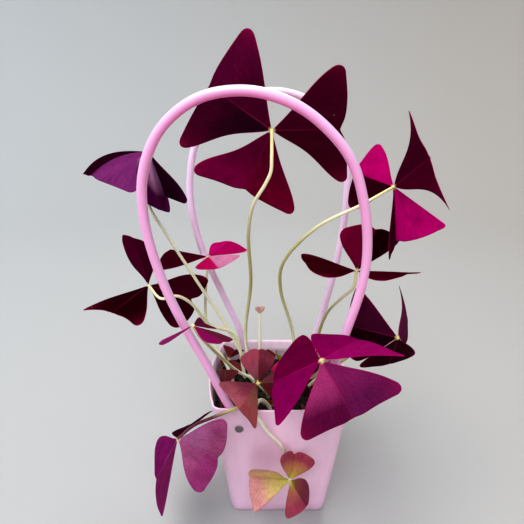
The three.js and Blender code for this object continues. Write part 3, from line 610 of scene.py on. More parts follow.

# %% [markdown]
# ## The leaves of this plant
# Every leaf is written down once: where its three leaflets meet, the points its stalk runs
# through, and for each leaflet where its two lobes point, as a clock angle and a lean
# towards the eye, how long it is, and the tones of its two halves, near the hub and far
# from it. These tones hold the leaf's own colour with painted light and shade in it: halves
# turned from the light are painted darker, backlit ones a brighter magenta. A pair holds
# lobe a's value and then lobe b's. Leaves could be scattered by chance, but this plant is
# known by its own sixteen, so each is set.

# %% Leaf table
# For a leaf: under is the tone of the underside, with painted light and shade in it like
# the tones, pale says how much of the stalk is paler, partly its own colour and partly
# painted light, red how much of it is flushed, and root is a tone round the hub and how far
# it goes. For a leaflet: ridge and dome raise the midrib and the lobes, skew turns the
# midrib, fill, swell and notch shape the rim, bulge and sway the side edges, and round the
# lobes' corners.
LEAVES = {
    "crown": dict(slot="leaf_purple", hub=(-6, -30, 250), under="#5a0a38",
        stalk=[(-18, 9, 69), (-19, 9, 80), (-22.5, 9, 112), (-18, -8, 158), (-18.5, -28, 195),
               (-15.6, -38, 213), (-9.2, -44, 225), (-6.6, -44.5, 231), (-6.2, -43, 238)],
        leaflets=[
            dict(a=(346, -6), b=(262, -12, 1.03), length=52, ridge=-0.8, fill=0.03, sway=(0, 0.06),
                 swell=(0.02, 0), notch=0.01, bulge=(0.06, -0.08),
                 tones=("#3a021d", "#200212", "#4a042a", "#34021b")),
            dict(a=(124, -10, 1.03), b=(49, -6), length=49, ridge=-0.4, skew=0.08, sway=(0.08, 0.02),
                 fill=0.05, bulge=(-0.07, 0.1), tones=("#350316", "#42011f")),
            dict(a=(241, -10, 1.04), b=(168, -12, 1.03), length=48, ridge=-0.4, fill=0.05, sway=(0.08, 0.03),
                 swell=0, bulge=(-0.02, 0.05), tones=("#5a0030", "#560024", "#780040", "#640028"))]),
    "left_high": dict(slot="leaf_violet", hub=(-78, 5, 236), under="#3a0a2c", pale=0.7,
        stalk=[(-18, 15, 69), (-20, 14, 80), (-33.3, 13.8, 111.7), (-54.1, 6.7, 153.9), (-71.4, 4.6, 186.1),
               (-81, 4, 206), (-80, 4, 222)],
        leaflets=[
            dict(a=(250, -12, 0.99), b=(200, 58), length=46, dome=0.14, ridge=0.4, skew=0.18,
                 fill=0.05, swell=(0, -0.02), bulge=(0.2, 0.1), round=(0.35, 0.15),
                 tones=("#1e0210", "#642458")),
            dict(a=(188, 56), b=(160, -28, 1.03), length=46, ridge=-0.4, notch=0, fill=-0.02, swell=-0.01,
                 round=(0.15, 0.2), bulge=(0.5, 0.1), tones=("#c08ab4", "#b47cac", "#480a40", "#580c46")),
            dict(a=(145, -12), b=(190, -62), length=40, ridge=-0.3, bulge=(0.3, 0),
                 tones=("#1e020e", "#1e020e"))]),
    "right_high": dict(slot="leaf_purple", hub=(65, -10, 218), under="#8a0a50",
        stalk=[(14, 16, 69), (13, 16, 84), (10.5, 14, 112), (1, 2, 150), (2, -8, 171),
               (20, -22, 197), (44, -23, 210)],
        leaflets=[
            dict(a=(111, 46), b=(12, 17), length=42.5, bulge=-0.3, swell=-0.06, round=0.06,
                 tones=("#44001f", "#3a001c")),
            dict(a=(184, 26, 0.97), b=(130, -29), length=46.3, ridge=-1.3, round=0.08, swell=0.02,
                 bulge=(0.1, 0), tones=("#3a001a", "#bc0070")),
            dict(a=(336, -46), b=(246, -41), length=43, fill=-0.12, round=(0.1, 0.2), swell=0,
                 tones=("#900052", "#3c0019"))]),
    "right_mid": dict(slot="leaf_purple", hub=(47, -10, 166.5), under="#6a0a3c",
        stalk=[(20, 12, 69), (23, 12, 82), (28, 10, 112), (32, 0, 134), (38, -9, 147), (45, -13, 157)],
        leaflets=[
            dict(a=(53, -24), b=(341, -38), length=38, skew=0.4, tones=("#24020a", "#5e0028")),
            dict(a=(112, 68), b=(92, -10), length=40, ridge=0.3, notch=0, fill=0.03,
                 tones=("#36000e", "#36000e")),
            dict(a=(288, -20), b=(259, 61), length=40, ridge=-0.3, notch=0, fill=0.04,
                 tones=("#30020a", "#30020a"))]),
    "right_low": dict(slot="leaf_purple", hub=(64, -48, 141), under="#5a0a38",
        stalk=[(17, -3, 69), (20, -6, 80), (32, -18, 102), (49, -27, 122), (59, -34, 134)],
        leaflets=[
            dict(a=(319, 14), b=(245, -28), length=36, round=(0.08, 0.2), bulge=(0.04, 0.1),
                 tones=("#400a28", "#200010")),
            dict(a=(233, -28, 1.05), b=(138, -64), length=31, ridge=0.2, fill=0.1,
                 tones=("#2d0c18", "#2d0c18")),
            dict(a=(100, -80), b=(1, -22), length=34, ridge=0.2, bulge=(0.1, -0.5),
                 tones=("#5a2040", "#5a2040"))]),
    "front_right": dict(slot="leaf_purple", hub=(18.5, -73, 142), under="#80024d",
        stalk=[(5, -15, 69), (7, -17, 82), (12, -31, 104), (17, -48, 116), (19.5, -63, 130)],
        leaflets=[
            dict(a=(191, -12), b=(111, -4), length=43, swell=-0.03, fill=-0.01,
                 tones=("#8c2e60", "#6c1a4c", "#500c34", "#561440")),
            dict(a=(311, -63), b=(215, -18), length=43, skew=-0.35, round=(0.15, 0.1),
                 tones=("#5a0032", "#700046")),
            dict(a=(86, 0), b=(347, -58, 0.68), length=41, skew=0.1, fill=-0.08, round=0.08,
                 swell=0, bulge=(-0.12, 0.1), tones=("#7c0850", "#6c0044"))]),
    "left_mid": dict(slot="leaf_purple", hub=(-84, 0, 153), under="#4a0a2c", pale=0.4,
        stalk=[(-23, 10, 69), (-24, 10, 82), (-30.5, 9, 113.5), (-46, 5, 122), (-57, -3, 142),
               (-65, -8, 149), (-74, -10, 148)],
        leaflets=[
            dict(a=(6, 60), b=(330, -26), length=46, ridge=0.3, notch=0, fill=-0.07,
                 swell=-0.01, round=(0.15, 0.4), bulge=(0.1, 0.4), tones=("#3c001c", "#480024")),
            dict(a=(249, -3), b=(195, 54), length=43.2, ridge=0.15, fill=-0.03, swell=-0.06,
                 round=(0.06, 0.2), tones=("#220008", "#1e0006")),
            dict(a=(146, -33), b=(84, -18), length=44, skew=-0.5, fill=-0.05, notch=0.07, bulge=(0.1, 0.3),
                 tones=("#360014", "#380016"))]),
    "centre_left": dict(slot="leaf_purple", hub=(-49, 32, 162), under="#b00860", pale=0.6,
        stalk=[(-30, 4, 69), (-32, 4, 81), (-37.5, 7, 94), (-48, 12, 109), (-50.5, 18, 120), (-51, 25, 135)],
        leaflets=[
            dict(a=(279, -54), b=(256, 20), length=38, tones=("#3a0016", "#3a0016")),
            dict(a=(80, -8), b=(25, -66), length=29.5, ridge=0.4, notch=0, fill=0.05,
                 tones=("#90004c", "#a0005a")),
            dict(a=(221, 68), b=(90, 44), length=30, ridge=-0.4, tones=("#a0084c", "#b06c8c"))]),
    "left_low": dict(slot="leaf_purple", hub=(-48.5, -49, 149), under="#5a1030", pale=0.4,
        stalk=[(-16, 4, 69), (-17.5, 4, 80), (-27, 1, 88), (-36, -8, 103), (-44, -24, 123), (-47, -42, 140)],
        leaflets=[
            dict(a=(244, 14), b=(236, -20), length=21, ridge=0, notch=0, fill=0.2, round=0.45,
                 tones=("#b03a84", "#b03a84")),
            dict(a=(139, 60, 0.9), b=(108, -20), length=26, tones=("#7a1050", "#5a2034")),
            dict(a=(98, -46), b=(40, -72), length=20, ridge=0, tones=("#4a1430", "#4a1430"))]),
    "front_left": dict(slot="leaf_old", hub=(-13.5, -42, 108), under="#6a2030", root=("#58281e", 5),
        stalk=[(-6, -12, 69), (-7, -15, 80), (-10, -28, 94)],
        leaflets=[
            dict(a=(33, -44), b=(328, -43), length=27.5, tones=("#60142a", "#7a3848", "#7a2c40", "#8c3a4c")),
            dict(a=(267, 32), b=(184, 16), length=26.5, fill=0.2, swell=-0.04,
                 tones=("#6a2438", "#8a5448", "#8c4652", "#98484c")),
            dict(a=(128, -40), b=(60, -55), length=25, tones=("#5a1626", "#5a1626"))]),
    "hanging_left": dict(slot="leaf_violet", hub=(-61, -50, 75), under="#4a1038", red=1.0,
        stalk=[(-7, -20, 69), (-9, -22, 79), (-16, -34, 90), (-23, -44.5, 94), (-39, -48, 89),
               (-52, -46, 81)],
        leaflets=[
            dict(a=(259, -70), b=(193, 3, 0.92), length=44, ridge=1.1, round=(0.2, 0.06),
                 tones=("#6a1650", "#641c48")),
            dict(a=(156, 28), b=(71, 36), length=36, ridge=-1, skew=0.1, bulge=(0.2, 0.1),
                 tones=("#844468", "#90547a", "#7a2e5c", "#864064")),
            dict(a=(50, -30), b=(330, -78, 0.8), length=32, ridge=-0.1, tones=("#2a0418", "#2a0418"))]),
    "hanging_front": dict(slot="leaf_old", hub=(6.5, -47, 41), under="#9a5a48", root=("#a2a830", 4.6),
        pale=0.8,
        stalk=[(-4, -27, 69), (-6, -28, 80), (-12, -38, 93.5), (-15, -47, 93.5), (-9, -46.5, 79),
               (1, -42.5, 63), (4.5, -40, 48)],
        leaflets=[
            dict(a=(286, 38), b=(230, 0, 0.94), length=30, ridge=-1, fill=0.08, round=0.05,
                 notch=0, bulge=(0.5, 0.05), tones=("#c8b062", "#b8a260", "#d0a07c", "#be8480")),
            dict(a=(52, 34), b=(338, 52), length=23, ridge=-1, notch=0.07, swell=0.06,
                 tones=("#a07448", "#c0885c", "#8c3a4a", "#9c4656")),
            dict(a=(184, 25, 0.88), b=(100, 66), length=26, ridge=-1, skew=0.2,
                 tones=("#8c5048", "#7c4038", "#7e3246", "#6c283c"))]),
    "inner_left": dict(slot="leaf_old", hub=(-35, 19, 88), under="#7a4a40",
        stalk=[(-31, 20, 69), (-33, 22, 79)],
        leaflets=[
            dict(a=(60, 10), b=(340, 35), length=13, tones=("#74242c", "#74242c")),
            dict(a=(190, 40), b=(120, -10), length=14, tones=("#5e1c22", "#74242c")),
            dict(a=(290, -20), b=(225, 30), length=9, tones=("#74242c", "#5e1c22"))]),
    "inner_low": dict(slot="leaf_old", hub=(-35, -15, 88), under="#5a2a2a",
        stalk=[(-32, -6, 69), (-34, -8, 80)],
        leaflets=[
            dict(a=(40, 0), b=(335, -30), length=13, tones=("#5a2028", "#5a2028")),
            dict(a=(160, 20), b=(100, -30), length=12, tones=("#4a1c20", "#5a2028")),
            dict(a=(265, -40), b=(200, 10), length=8, tones=("#5a2028", "#4a1c20"))]),
    "inner_right": dict(slot="leaf_old", hub=(14, -10, 93), under="#3a1022",
        stalk=[(12, -1, 69), (12, -3, 81)],
        leaflets=[
            dict(a=(345, -10), b=(280, 0), length=20, tones=("#3a1022", "#4a0c20", "#5a1428", "#c8205c")),
            dict(a=(225, -24), b=(150, -20), length=16, tones=("#3a1022", "#2a0a14")),
            dict(a=(90, -40), b=(20, -30), length=17, tones=("#3a1022", "#3a1022"))]),
    "bud": dict(slot="leaf_young", hub=(-12.5, 22, 122), under="#c09a90", pale=0.9,
        stalk=[(-12, 17, 69), (-13, 18, 84), (-12.5, 20, 104)],
        leaflets=[
            dict(a=(350, 38), b=(30, 15), length=7, round=0.4, tones=("#d0a8a4", "#d8b4a8")),
            dict(a=(35, -10), b=(350, -45), length=7, round=0.4, tones=("#c89c98", "#d0a8a4")),
            dict(a=(338, -30), b=(322, 20), length=7, round=0.4, tones=("#d8b4a8", "#c89c98"))]),
}
print("leaves:", len(LEAVES), "leaflets:", sum(len(leaf["leaflets"]) for leaf in LEAVES.values()))

# %% [markdown]
# ## Shape of a leaflet
# A leaflet is a broad wedge with two round lobes and a shallow notch between them, folded
# along its midrib like a butterfly. It is worked out on a grid that runs from the hub to
# the rim and from one side edge to the other, so that the fold, the dome, the lobes and
# the veins are all simple functions of two numbers. Cloth would not do: a leaf is held by
# its veins, and it is stiff.

# %% Leaflet frame
HALF_SPREAD = 41
SIDE_BULGE = 0.1
RIM_REACH = 0.77
LOBE_SWELL = 0.04
NOTCH_DEPTH = 0.03
ROOT_START = 0.02
LOBE_AT = 0.93
LOBE_ROUND = 0.15
NOTCH_WIDTH = 0.15
DOME = 4


def unit(v):
    """The same directions, each one long."""
    return v / np.linalg.norm(v, axis=-1, keepdims=True)


def sight(hub, clock, toward):
    """A direction from a hub as the eye sees it: a clock hand, then a lean to the eye."""
    tilt, clock, toward = np.radians([EYE_TILT, clock, toward])
    eye = unit(EYE - hub)
    up = np.array([0, math.sin(tilt), math.cos(tilt)])
    flat = np.array([math.sin(clock), 0, 0]) + up * math.cos(clock)
    flat = unit(flat - eye * np.dot(flat, eye))
    return flat * math.cos(toward) + eye * math.sin(toward)


def leaflet_frame(hub, leaflet):
    """The directions of the two lobes and the midrib, and the one the leaflet faces."""
    lobe_a = sight(hub, *leaflet["a"][:2])
    lobe_b = sight(hub, *leaflet["b"][:2])
    skew = leaflet.get("skew", 0)
    middle = unit(lobe_a * (1 + skew) + lobe_b * (1 - skew))
    face = np.cross(unit(lobe_a - lobe_b), unit(lobe_a + lobe_b))
    half = math.acos(np.clip(np.dot(lobe_a, lobe_b), -1, 1)) / 2
    rise = math.acos(min(1, math.cos(math.radians(HALF_SPREAD)) / math.cos(half)))
    rise *= leaflet.get("ridge", 1)
    return lobe_a, lobe_b, middle * math.cos(rise) + face * math.sin(rise), face


crown_hub = np.array(LEAVES["crown"]["hub"])
print("crown midrib points", leaflet_frame(crown_hub, LEAVES["crown"]["leaflets"][0])[2].round(2))

# %% Leaflet surface


def both_lobes(value, t):
    """One value for the whole leaflet, or a pair of them: lobe a's, then lobe b's."""
    value_a, value_b = value if isinstance(value, tuple) else (value, value)
    return np.where(t > 0, value_a, value_b)


def rounded(s, t, size):
    """Draw the square corners of the grid in, so that the lobes are round."""
    edge = np.abs(t)
    x = np.clip((edge - 1 + size) / size, 0, 1)
    y = np.clip((s - 1 + size) / size, 0, 1)
    corner = (x > 0) & (y > 0)
    new_edge = np.where(corner, 1 - size + size * x * np.sqrt(1 - y * y / 2), edge)
    new_s = np.where(corner, 1 - size + size * y * np.sqrt(1 - x * x / 2), s)
    return new_s, new_edge * np.sign(t)


def leaflet_surface(hub, leaflet, s, t):
    """Points of the leaflet's middle surface. s runs to the rim, t from lobe b to lobe a."""
    lobe_a, lobe_b, midrib, face = leaflet_frame(hub, leaflet)
    s, t = rounded(s, t, both_lobes(leaflet.get("round", LOBE_ROUND), t))
    edge = np.abs(t)
    side_a = (t > 0)[..., None]
    lobe = np.where(side_a, lobe_a, lobe_b)
    half = np.arccos(np.clip(lobe @ midrib, -1, 1))
    across = unit(lobe - midrib * np.cos(half)[..., None])
    bulge = both_lobes(leaflet.get("bulge", SIDE_BULGE), t)
    sway = both_lobes(leaflet.get("sway", 0), t)
    side_edge = 1 + bulge * np.sin(math.pi * s) - sway * np.sin(2 * math.pi * s)
    turn = half * edge / LOBE_AT * side_edge
    notch = leaflet.get("notch", NOTCH_DEPTH) * np.exp(-(t / NOTCH_WIDTH) ** 2)
    swell = both_lobes(leaflet.get("swell", LOBE_SWELL), t) * np.sin(math.pi * edge)
    rim = RIM_REACH / np.cos(np.radians(HALF_SPREAD) * t) + swell - notch
    rim += leaflet.get("fill", 0) * (1 - edge)
    shorter = both_lobes(((*leaflet["a"], 1)[2], (*leaflet["b"], 1)[2]), t)
    reach = leaflet["length"] * (1 + (shorter - 1) * edge) * (ROOT_START + (1 - ROOT_START) * s) * rim
    dome = DOME * leaflet.get("dome", 0) * reach * (1 - reach / leaflet["length"])
    return (hub + midrib * (reach * np.cos(turn))[..., None]
            + across * (reach * np.sin(turn))[..., None] + face * dome[..., None])


lobe_tip = leaflet_surface(crown_hub, LEAVES["crown"]["leaflets"][0],
                           np.array([[1.0]]), np.array([[LOBE_AT]]))
print("crown lobe reaches", np.linalg.norm(lobe_tip - crown_hub).round(1), "mm from the hub")

# %% [markdown]
# ## Thickness, veins and colour of a leaflet
# The blade is about half a millimetre thick, thicker at the midrib and thin at the rim.
# Side veins leave the midrib at a slant and run to the rim, and the blade puffs up a
# little between them. The mesh carries that relief, and it also carries what the material
# needs: distances in millimetres to the midrib, the rim and the hub, a count of side
# veins, and the tone of each half.

# %% Leaflet mesh
GRID = (34, 57)
SMALL_GRID = (18, 29)
SMALL_LENGTH = 24
VEIN_SLANT = 0.75
VEINS = 9
MIDRIB_SWELL = 0.18
BLADE_HALF = 0.2
PUFF = 0.02
WAVE = 0.5
GROOVE = 0.22
FULL_GROWN = 45


def grid_lines(rows, columns):
    """Rows from hub to rim and columns across, closer where the shape turns most."""
    s = 1 - (1 - np.linspace(0, 1, rows)) ** 1.25
    h = np.linspace(-1, 1, columns)
    t = np.sign(h) * (0.55 * np.abs(h) + 0.45 * (1 - np.cos(math.pi * np.abs(h))) / 2)
    return np.meshgrid(s, t, indexing="ij")


def leaflet_mesh(hub, leaflet, leaf, phase):
    """Closed leaflet: points, faces and the values its material reads."""
    rows, columns = SMALL_GRID if leaflet["length"] < SMALL_LENGTH else GRID
    s, t = grid_lines(rows, columns)
    middle = leaflet_surface(hub, leaflet, s, t)
    normal = unit(np.cross(np.gradient(middle, axis=1), np.gradient(middle, axis=0)))
    reach = np.linalg.norm(middle - hub, axis=-1)
    spread = np.radians(HALF_SPREAD)
    rib = np.abs(t) * spread * reach
    rim = np.minimum((1 - s) * leaflet["length"] * 0.9, (1 - np.abs(t)) * spread * reach)
    vein = (s - VEIN_SLANT * np.abs(t)) * VEINS
    growth = leaflet["length"] / FULL_GROWN
    puff = PUFF * growth * np.cos(2 * math.pi * vein) * np.clip(rib / 3, 0, 1) * np.clip(rim / 3, 0, 1)
    ripple = np.sin(5.1 * s + 4 * t + phase) + 0.6 * np.sin(9 * t - 3 * phase)
    wave = WAVE * growth * s ** 2 * np.abs(t) * ripple
    groove = GROOVE * growth * np.exp(-(rib / 0.7) ** 2)
    middle = middle + normal * (wave - puff - groove)[..., None]
    thick = (BLADE_HALF + MIDRIB_SWELL * np.exp(-(rib / 0.9) ** 2)) * np.sqrt(np.clip(rim / 0.8, 0.03, 1))
    front = middle + normal * thick[..., None]
    back = middle - normal * thick[..., None]
    n = rows * columns
    faces = ring_faces(rows, columns, closed=False)
    faces += [tuple(n + i for i in f[::-1]) for f in faces]
    loop = [*range(columns)] + [r * columns + columns - 1 for r in range(1, rows)]
    loop += [(rows - 1) * columns + c for c in range(columns - 2, -1, -1)]
    loop += [r * columns for r in range(rows - 2, 0, -1)]
    for i, j in zip(loop, loop[1:] + loop[:1]):
        faces.append((j, i, n + i, n + j))
    lean = 1 / (1 + np.exp(-t / 0.03))
    # The tones carry painted light and shade along with the leaf's own colour.
    near_a, near_b, *far = [np.array(linear(code)) for code in leaflet["tones"]]
    far_a, far_b = far or (near_a, near_b)
    out = (np.clip((s - 0.25) / 0.5, 0, 1) ** 2)[..., None]
    tone_a, tone_b = near_a + (far_a - near_a) * out, near_b + (far_b - near_b) * out
    seen = tone_b + (tone_a - tone_b) * lean[..., None]
    root, root_mm = leaf.get("root", ("#000000", 0.1))
    by_hub = np.exp(-(reach / root_mm) ** 2)[..., None]
    seen = seen + (np.array(linear(root)) - seen) * by_hub
    hidden = np.broadcast_to(np.array(linear(leaf["under"])), seen.shape)
    lobe = (s * np.abs(t)) ** 6
    both = {"rib_mm": rib, "rim_mm": rim, "hub_mm": reach, "vein": vein, "lobe": lobe}
    values = {key: np.concatenate([v.ravel(), v.ravel()]) for key, v in both.items()}
    values["tint"] = np.concatenate([seen.reshape(-1, 4), hidden.reshape(-1, 4)])
    points = np.concatenate([front.reshape(-1, 3), back.reshape(-1, 3)])
    return points, faces, values


trial = leaflet_mesh(np.zeros(3), LEAVES["crown"]["leaflets"][0], LEAVES["crown"], 0)
print("one leaflet:", len(trial[0]), "points", len(trial[1]), "faces")

# %% Knob where the leaflets meet
KNOB_CORE = 0.35
KNOB_ARM = 1.2
KNOB_ROWS = 14
KNOB_SIDES = 18


def knob_mesh(hub, leaflets):
    """A small pale swelling with an arm towards each midrib."""
    arms = [leaflet_frame(hub, leaflet)[2] for leaflet in leaflets]
    angles = np.linspace(0, math.pi, KNOB_ROWS)
    rings = turned([(max(math.sin(a), 0.001), math.cos(a)) for a in angles], KNOB_SIDES).reshape(-1, 3)
    size = KNOB_CORE + sum(KNOB_ARM * np.clip(rings @ arm, 0, 1) ** 12 for arm in arms)
    points = hub + rings * size[:, None]
    zero = np.zeros(len(points))
    pale = np.tile(linear("#cdbf6e"), (len(points), 1))
    values = {"rib_mm": zero + 9, "rim_mm": zero + 9, "hub_mm": zero, "vein": zero + 0.5,
              "lobe": zero, "tint": pale}
    return points, capped_rings(KNOB_ROWS, KNOB_SIDES, flip=True), values


print("knob points:", len(knob_mesh(np.zeros(3), LEAVES["crown"]["leaflets"])[0]))

# %% [markdown]
# ## Leaf materials
# All the leaves are the same tissue at different ages, so one recipe makes their four
# finishes. It reads the tone of each half, clouds it, lays a paler net of fine veins, the
# slanting side veins and the midrib over it, adds a thin bright rim and brighter lobe tips
# as painted light shining through the thin edges, and turns it pale by the hub. Fine down
# on the skin gives purple leaves their velvet look, so each has a sheen.

# %% Leaf material recipe
BLADE_CLOUD_MM = 7.692
BLADE_GRAIN_MM = 1.111
VEIN_NET_MM = 1.3
DUST_MM = 3.0


def leaf_material(name, vein_colour, rim_colour, cloud, vein_strength, tip_light, **sockets):
    """Leaf tissue whose pattern follows the blade."""
    material, tree, shader = start_material(name, IOR=1.4, **sockets)
    read = {key: node(tree, "ShaderNodeAttribute", attribute_name=key).outputs
            for key in ("tint", "rib_mm", "rim_mm", "hub_mm", "vein", "lobe")}
    place = node(tree, "ShaderNodeTexCoord").outputs["Object"]
    soft = node(tree, "ShaderNodeTexNoise", {
        "Vector": place, "Scale": per_metre(BLADE_CLOUD_MM), "Detail": 4.0, "Roughness": 0.6})
    fine = node(tree, "ShaderNodeTexNoise", {
        "Vector": place, "Scale": per_metre(BLADE_GRAIN_MM), "Detail": 3.0, "Roughness": 0.7})
    net = node(tree, "ShaderNodeTexVoronoi", {"Vector": place, "Scale": per_metre(VEIN_NET_MM)},
               feature="DISTANCE_TO_EDGE")
    net_line = node(tree, "ShaderNodeMapRange", {"Value": net.outputs["Distance"], 1: 0.16, 2: 0.02, 4: 0.5})
    wander = node(tree, "ShaderNodeMath", {0: soft.outputs["Fac"], 1: 0.7, 2: read["vein"]["Fac"]},
                  operation="MULTIPLY_ADD")
    step = node(tree, "ShaderNodeMath", {0: wander, 1: 0.5}, operation="PINGPONG")
    side = node(tree, "ShaderNodeMapRange", {"Value": step, 1: 0.09, 2: 0.01})
    off_hub = node(tree, "ShaderNodeMapRange", {"Value": read["hub_mm"]["Fac"], 1: 4.0, 2: 14.0})
    side_line = node(tree, "ShaderNodeMath", {0: side, 1: off_hub}, operation="MULTIPLY")
    lines = node(tree, "ShaderNodeMath", {0: net_line, 1: side_line}, operation="MAXIMUM")
    from_hub = read["hub_mm"]["Fac"]
    ray = node(tree, "ShaderNodeMath", {0: read["rib_mm"]["Fac"], 1: from_hub}, operation="DIVIDE")
    ray_place = node(tree, "ShaderNodeCombineXYZ", {"X": ray, "Y": from_hub})
    stretched = node(tree, "ShaderNodeMapping", {"Vector": ray_place, "Scale": (22, 0.09, 1)})
    streak = node(tree, "ShaderNodeTexNoise", {"Vector": stretched, "Scale": 1.0, "Detail": 3.0})
    mottle = node(tree, "ShaderNodeMix", {0: 0.5, 2: soft.outputs["Fac"], 3: streak.outputs["Fac"]})
    shade = node(tree, "ShaderNodeMath", {0: mottle, 1: cloud, 2: 1 - cloud / 2},
                 operation="MULTIPLY_ADD")
    grain = node(tree, "ShaderNodeMapRange", {"Value": fine.outputs["Fac"], 1: 0.3, 2: 0.7, 3: 0.86, 4: 1.14})
    grained = node(tree, "ShaderNodeMath", {0: shade, 1: grain}, operation="MULTIPLY")
    value = node(tree, "ShaderNodeMath", {0: lines, 1: vein_strength, 2: grained},
                 operation="MULTIPLY_ADD")
    veined = node(tree, "ShaderNodeHueSaturation", {"Value": value, "Color": read["tint"]["Color"]})
    rib = node(tree, "ShaderNodeMapRange", {"Value": read["rib_mm"]["Fac"], 1: 0.4, 2: 0.1, 4: 0.4})
    rib_ends = node(tree, "ShaderNodeMapRange", {
        "Value": from_hub, 1: 34.0, 2: 10.0, 3: 0.15, 4: 1.0})
    rib_line = node(tree, "ShaderNodeMath", {0: rib, 1: rib_ends}, operation="MULTIPLY")
    ribbed = node(tree, "ShaderNodeMix", {
        0: rib_line, 6: veined, 7: linear(vein_colour)}, data_type="RGBA")
    # Painted light: a thin bright rim and brighter lobe tips stand for light shining through the thin edges.
    rim = node(tree, "ShaderNodeMapRange", {"Value": read["rim_mm"]["Fac"], 1: 0.45, 2: 0.0, 4: 0.5})
    tip = node(tree, "ShaderNodeMath", {0: read["lobe"]["Fac"], 1: tip_light}, operation="MULTIPLY")
    rim_and_tip_light = node(tree, "ShaderNodeMath", {0: rim, 1: tip}, operation="MAXIMUM")
    rim_lit = node(tree, "ShaderNodeMix", {
        0: rim_and_tip_light, 6: ribbed, 7: linear(rim_colour)}, data_type="RGBA")
    dust = node(tree, "ShaderNodeTexVoronoi", {"Vector": place, "Scale": per_metre(DUST_MM)})
    rare = node(tree, "ShaderNodeMath", {0: dust.outputs["Color"], 1: 0.9}, operation="GREATER_THAN")
    dot = node(tree, "ShaderNodeMapRange", {"Value": dust.outputs["Distance"], 1: 0.09, 2: 0.05, 4: 0.6})
    dots = node(tree, "ShaderNodeMath", {0: rare, 1: dot}, operation="MULTIPLY")
    dusted = node(tree, "ShaderNodeMix", {
        0: dots, 6: rim_lit, 7: linear("#e6c9d6")}, data_type="RGBA")
    hub = node(tree, "ShaderNodeMapRange", {"Value": from_hub, 1: 2.2, 2: 0.8})
    final = node(tree, "ShaderNodeMix", {0: hub, 6: dusted, 7: linear("#cbbf72")}, data_type="RGBA")
    rough = node(tree, "ShaderNodeMapRange", {"Value": fine.outputs["Fac"], 3: 0.45, 4: 0.65})
    low = node(tree, "ShaderNodeMath", {0: lines, 1: -0.8, 2: fine.outputs["Fac"]},
               operation="MULTIPLY_ADD")
    bump = node(tree, "ShaderNodeBump", {"Strength": 0.25, "Distance": 0.0002, "Height": low})
    wire(tree, shader, Base_Color=final, Roughness=rough, Normal=bump)
    return material


# %% Four ages of leaf
# Burgundy is the grown blade: velvet, with no gloss and a painted red rim of light shining
# through its edge. Violet is greyer, its veins paler than the tissue. Fading has turned
# brown along the veins and has a trace of gloss. The bud is pale, and downiest of all.
VELVET = dict(Sheen_Weight=0.015, Sheen_Roughness=0.4, Sheen_Tint=linear("#d04090"),
              Specular_IOR_Level=0.0)
LEAF_MATERIALS = {
    "leaf_purple": leaf_material("wood_sorrel_blade_burgundy", "#9a1c50", "#b01050",
                                 1.2, 0.25, 0.35, **VELVET),
    "leaf_violet": leaf_material("wood_sorrel_blade_violet", "#a06094", "#8a3a7c",
                                 1.6, 0.2, 0.2, **VELVET),
    "leaf_old": leaf_material("wood_sorrel_blade_fading", "#6e4a34", "#8c4a48",
                              1.5, 0.3, 0.3, Sheen_Weight=0.02, Specular_IOR_Level=0.1),
    "leaf_young": leaf_material("wood_sorrel_bud", "#d0b890", "#a06050",
                                0.4, 0.2, 0.3, Sheen_Weight=0.2),
}
print("leaf finishes:", ", ".join(LEAF_MATERIALS))

# %% Blades
def joined_leaflets(name, parts, material):
    """One mesh of several leaflets, with the values their material reads."""
    points, faces = [], []
    for part_points, part_faces, _ in parts:
        start = sum(len(p) for p in points)
        faces += [tuple(start + i for i in face) for face in part_faces]
        points.append(part_points)
    piece = mesh_object(name, np.concatenate(points), faces, material)
    for key in parts[0][2]:
        kind = "FLOAT_COLOR" if key == "tint" else "FLOAT"
        store(piece, key, np.concatenate([values[key] for _, _, values in parts]), kind)
    return piece


for index, (name, leaf) in enumerate(LEAVES.items()):
    hub = np.array(leaf["hub"], dtype=float)
    parts = [leaflet_mesh(hub, leaflet, leaf, index + 2.1 * k)
             for k, leaflet in enumerate(leaf["leaflets"])]
    parts.append(knob_mesh(hub, leaf["leaflets"]))
    blade = joined_leaflets(f"{name}_blade", parts, LEAF_MATERIALS[leaf["slot"]])
    finish_piece(blade, leaf["slot"], f"blade_{name}")

# %% [markdown]
# ## Stalks
# Wood sorrel stalks are thin, juicy and a little crooked. They are whitish where they leave
# the soil, yellow-green above, and flush pink in places. The same sweeping tree makes
# them, with a foot thicker than the tip.

# %% Stalk material
# Living stalk: smooth wet tissue under a waxy skin, so it has a soft gloss, a little light
# inside it, and fine lines along its length.
STALK_BLUSH_MM = 28.57
STALK_LINE_MM = 0.625
flesh, flesh_tree, flesh_shader = start_material(
    "wood_sorrel_stalk", IOR=1.4, Subsurface_Weight=0.2,
    Subsurface_Radius=(0.002, 0.002, 0.001), Subsurface_Scale=0.6)
place = node(flesh_tree, "ShaderNodeTexCoord").outputs["Object"]
along = node(flesh_tree, "ShaderNodeAttribute", attribute_name="along")
ramp = node(flesh_tree, "ShaderNodeValToRGB", {"Fac": along.outputs["Fac"]})
# The whitish foot is partly the stalk's own colour and partly painted light.
set_ramp(ramp, [(0.0, "#f8f6e0"), (0.2, "#e8e6c2"), (0.45, "#b2b070"), (0.65, "#c2bc84"),
                (0.82, "#eee8c4"), (0.97, "#dccf98")])
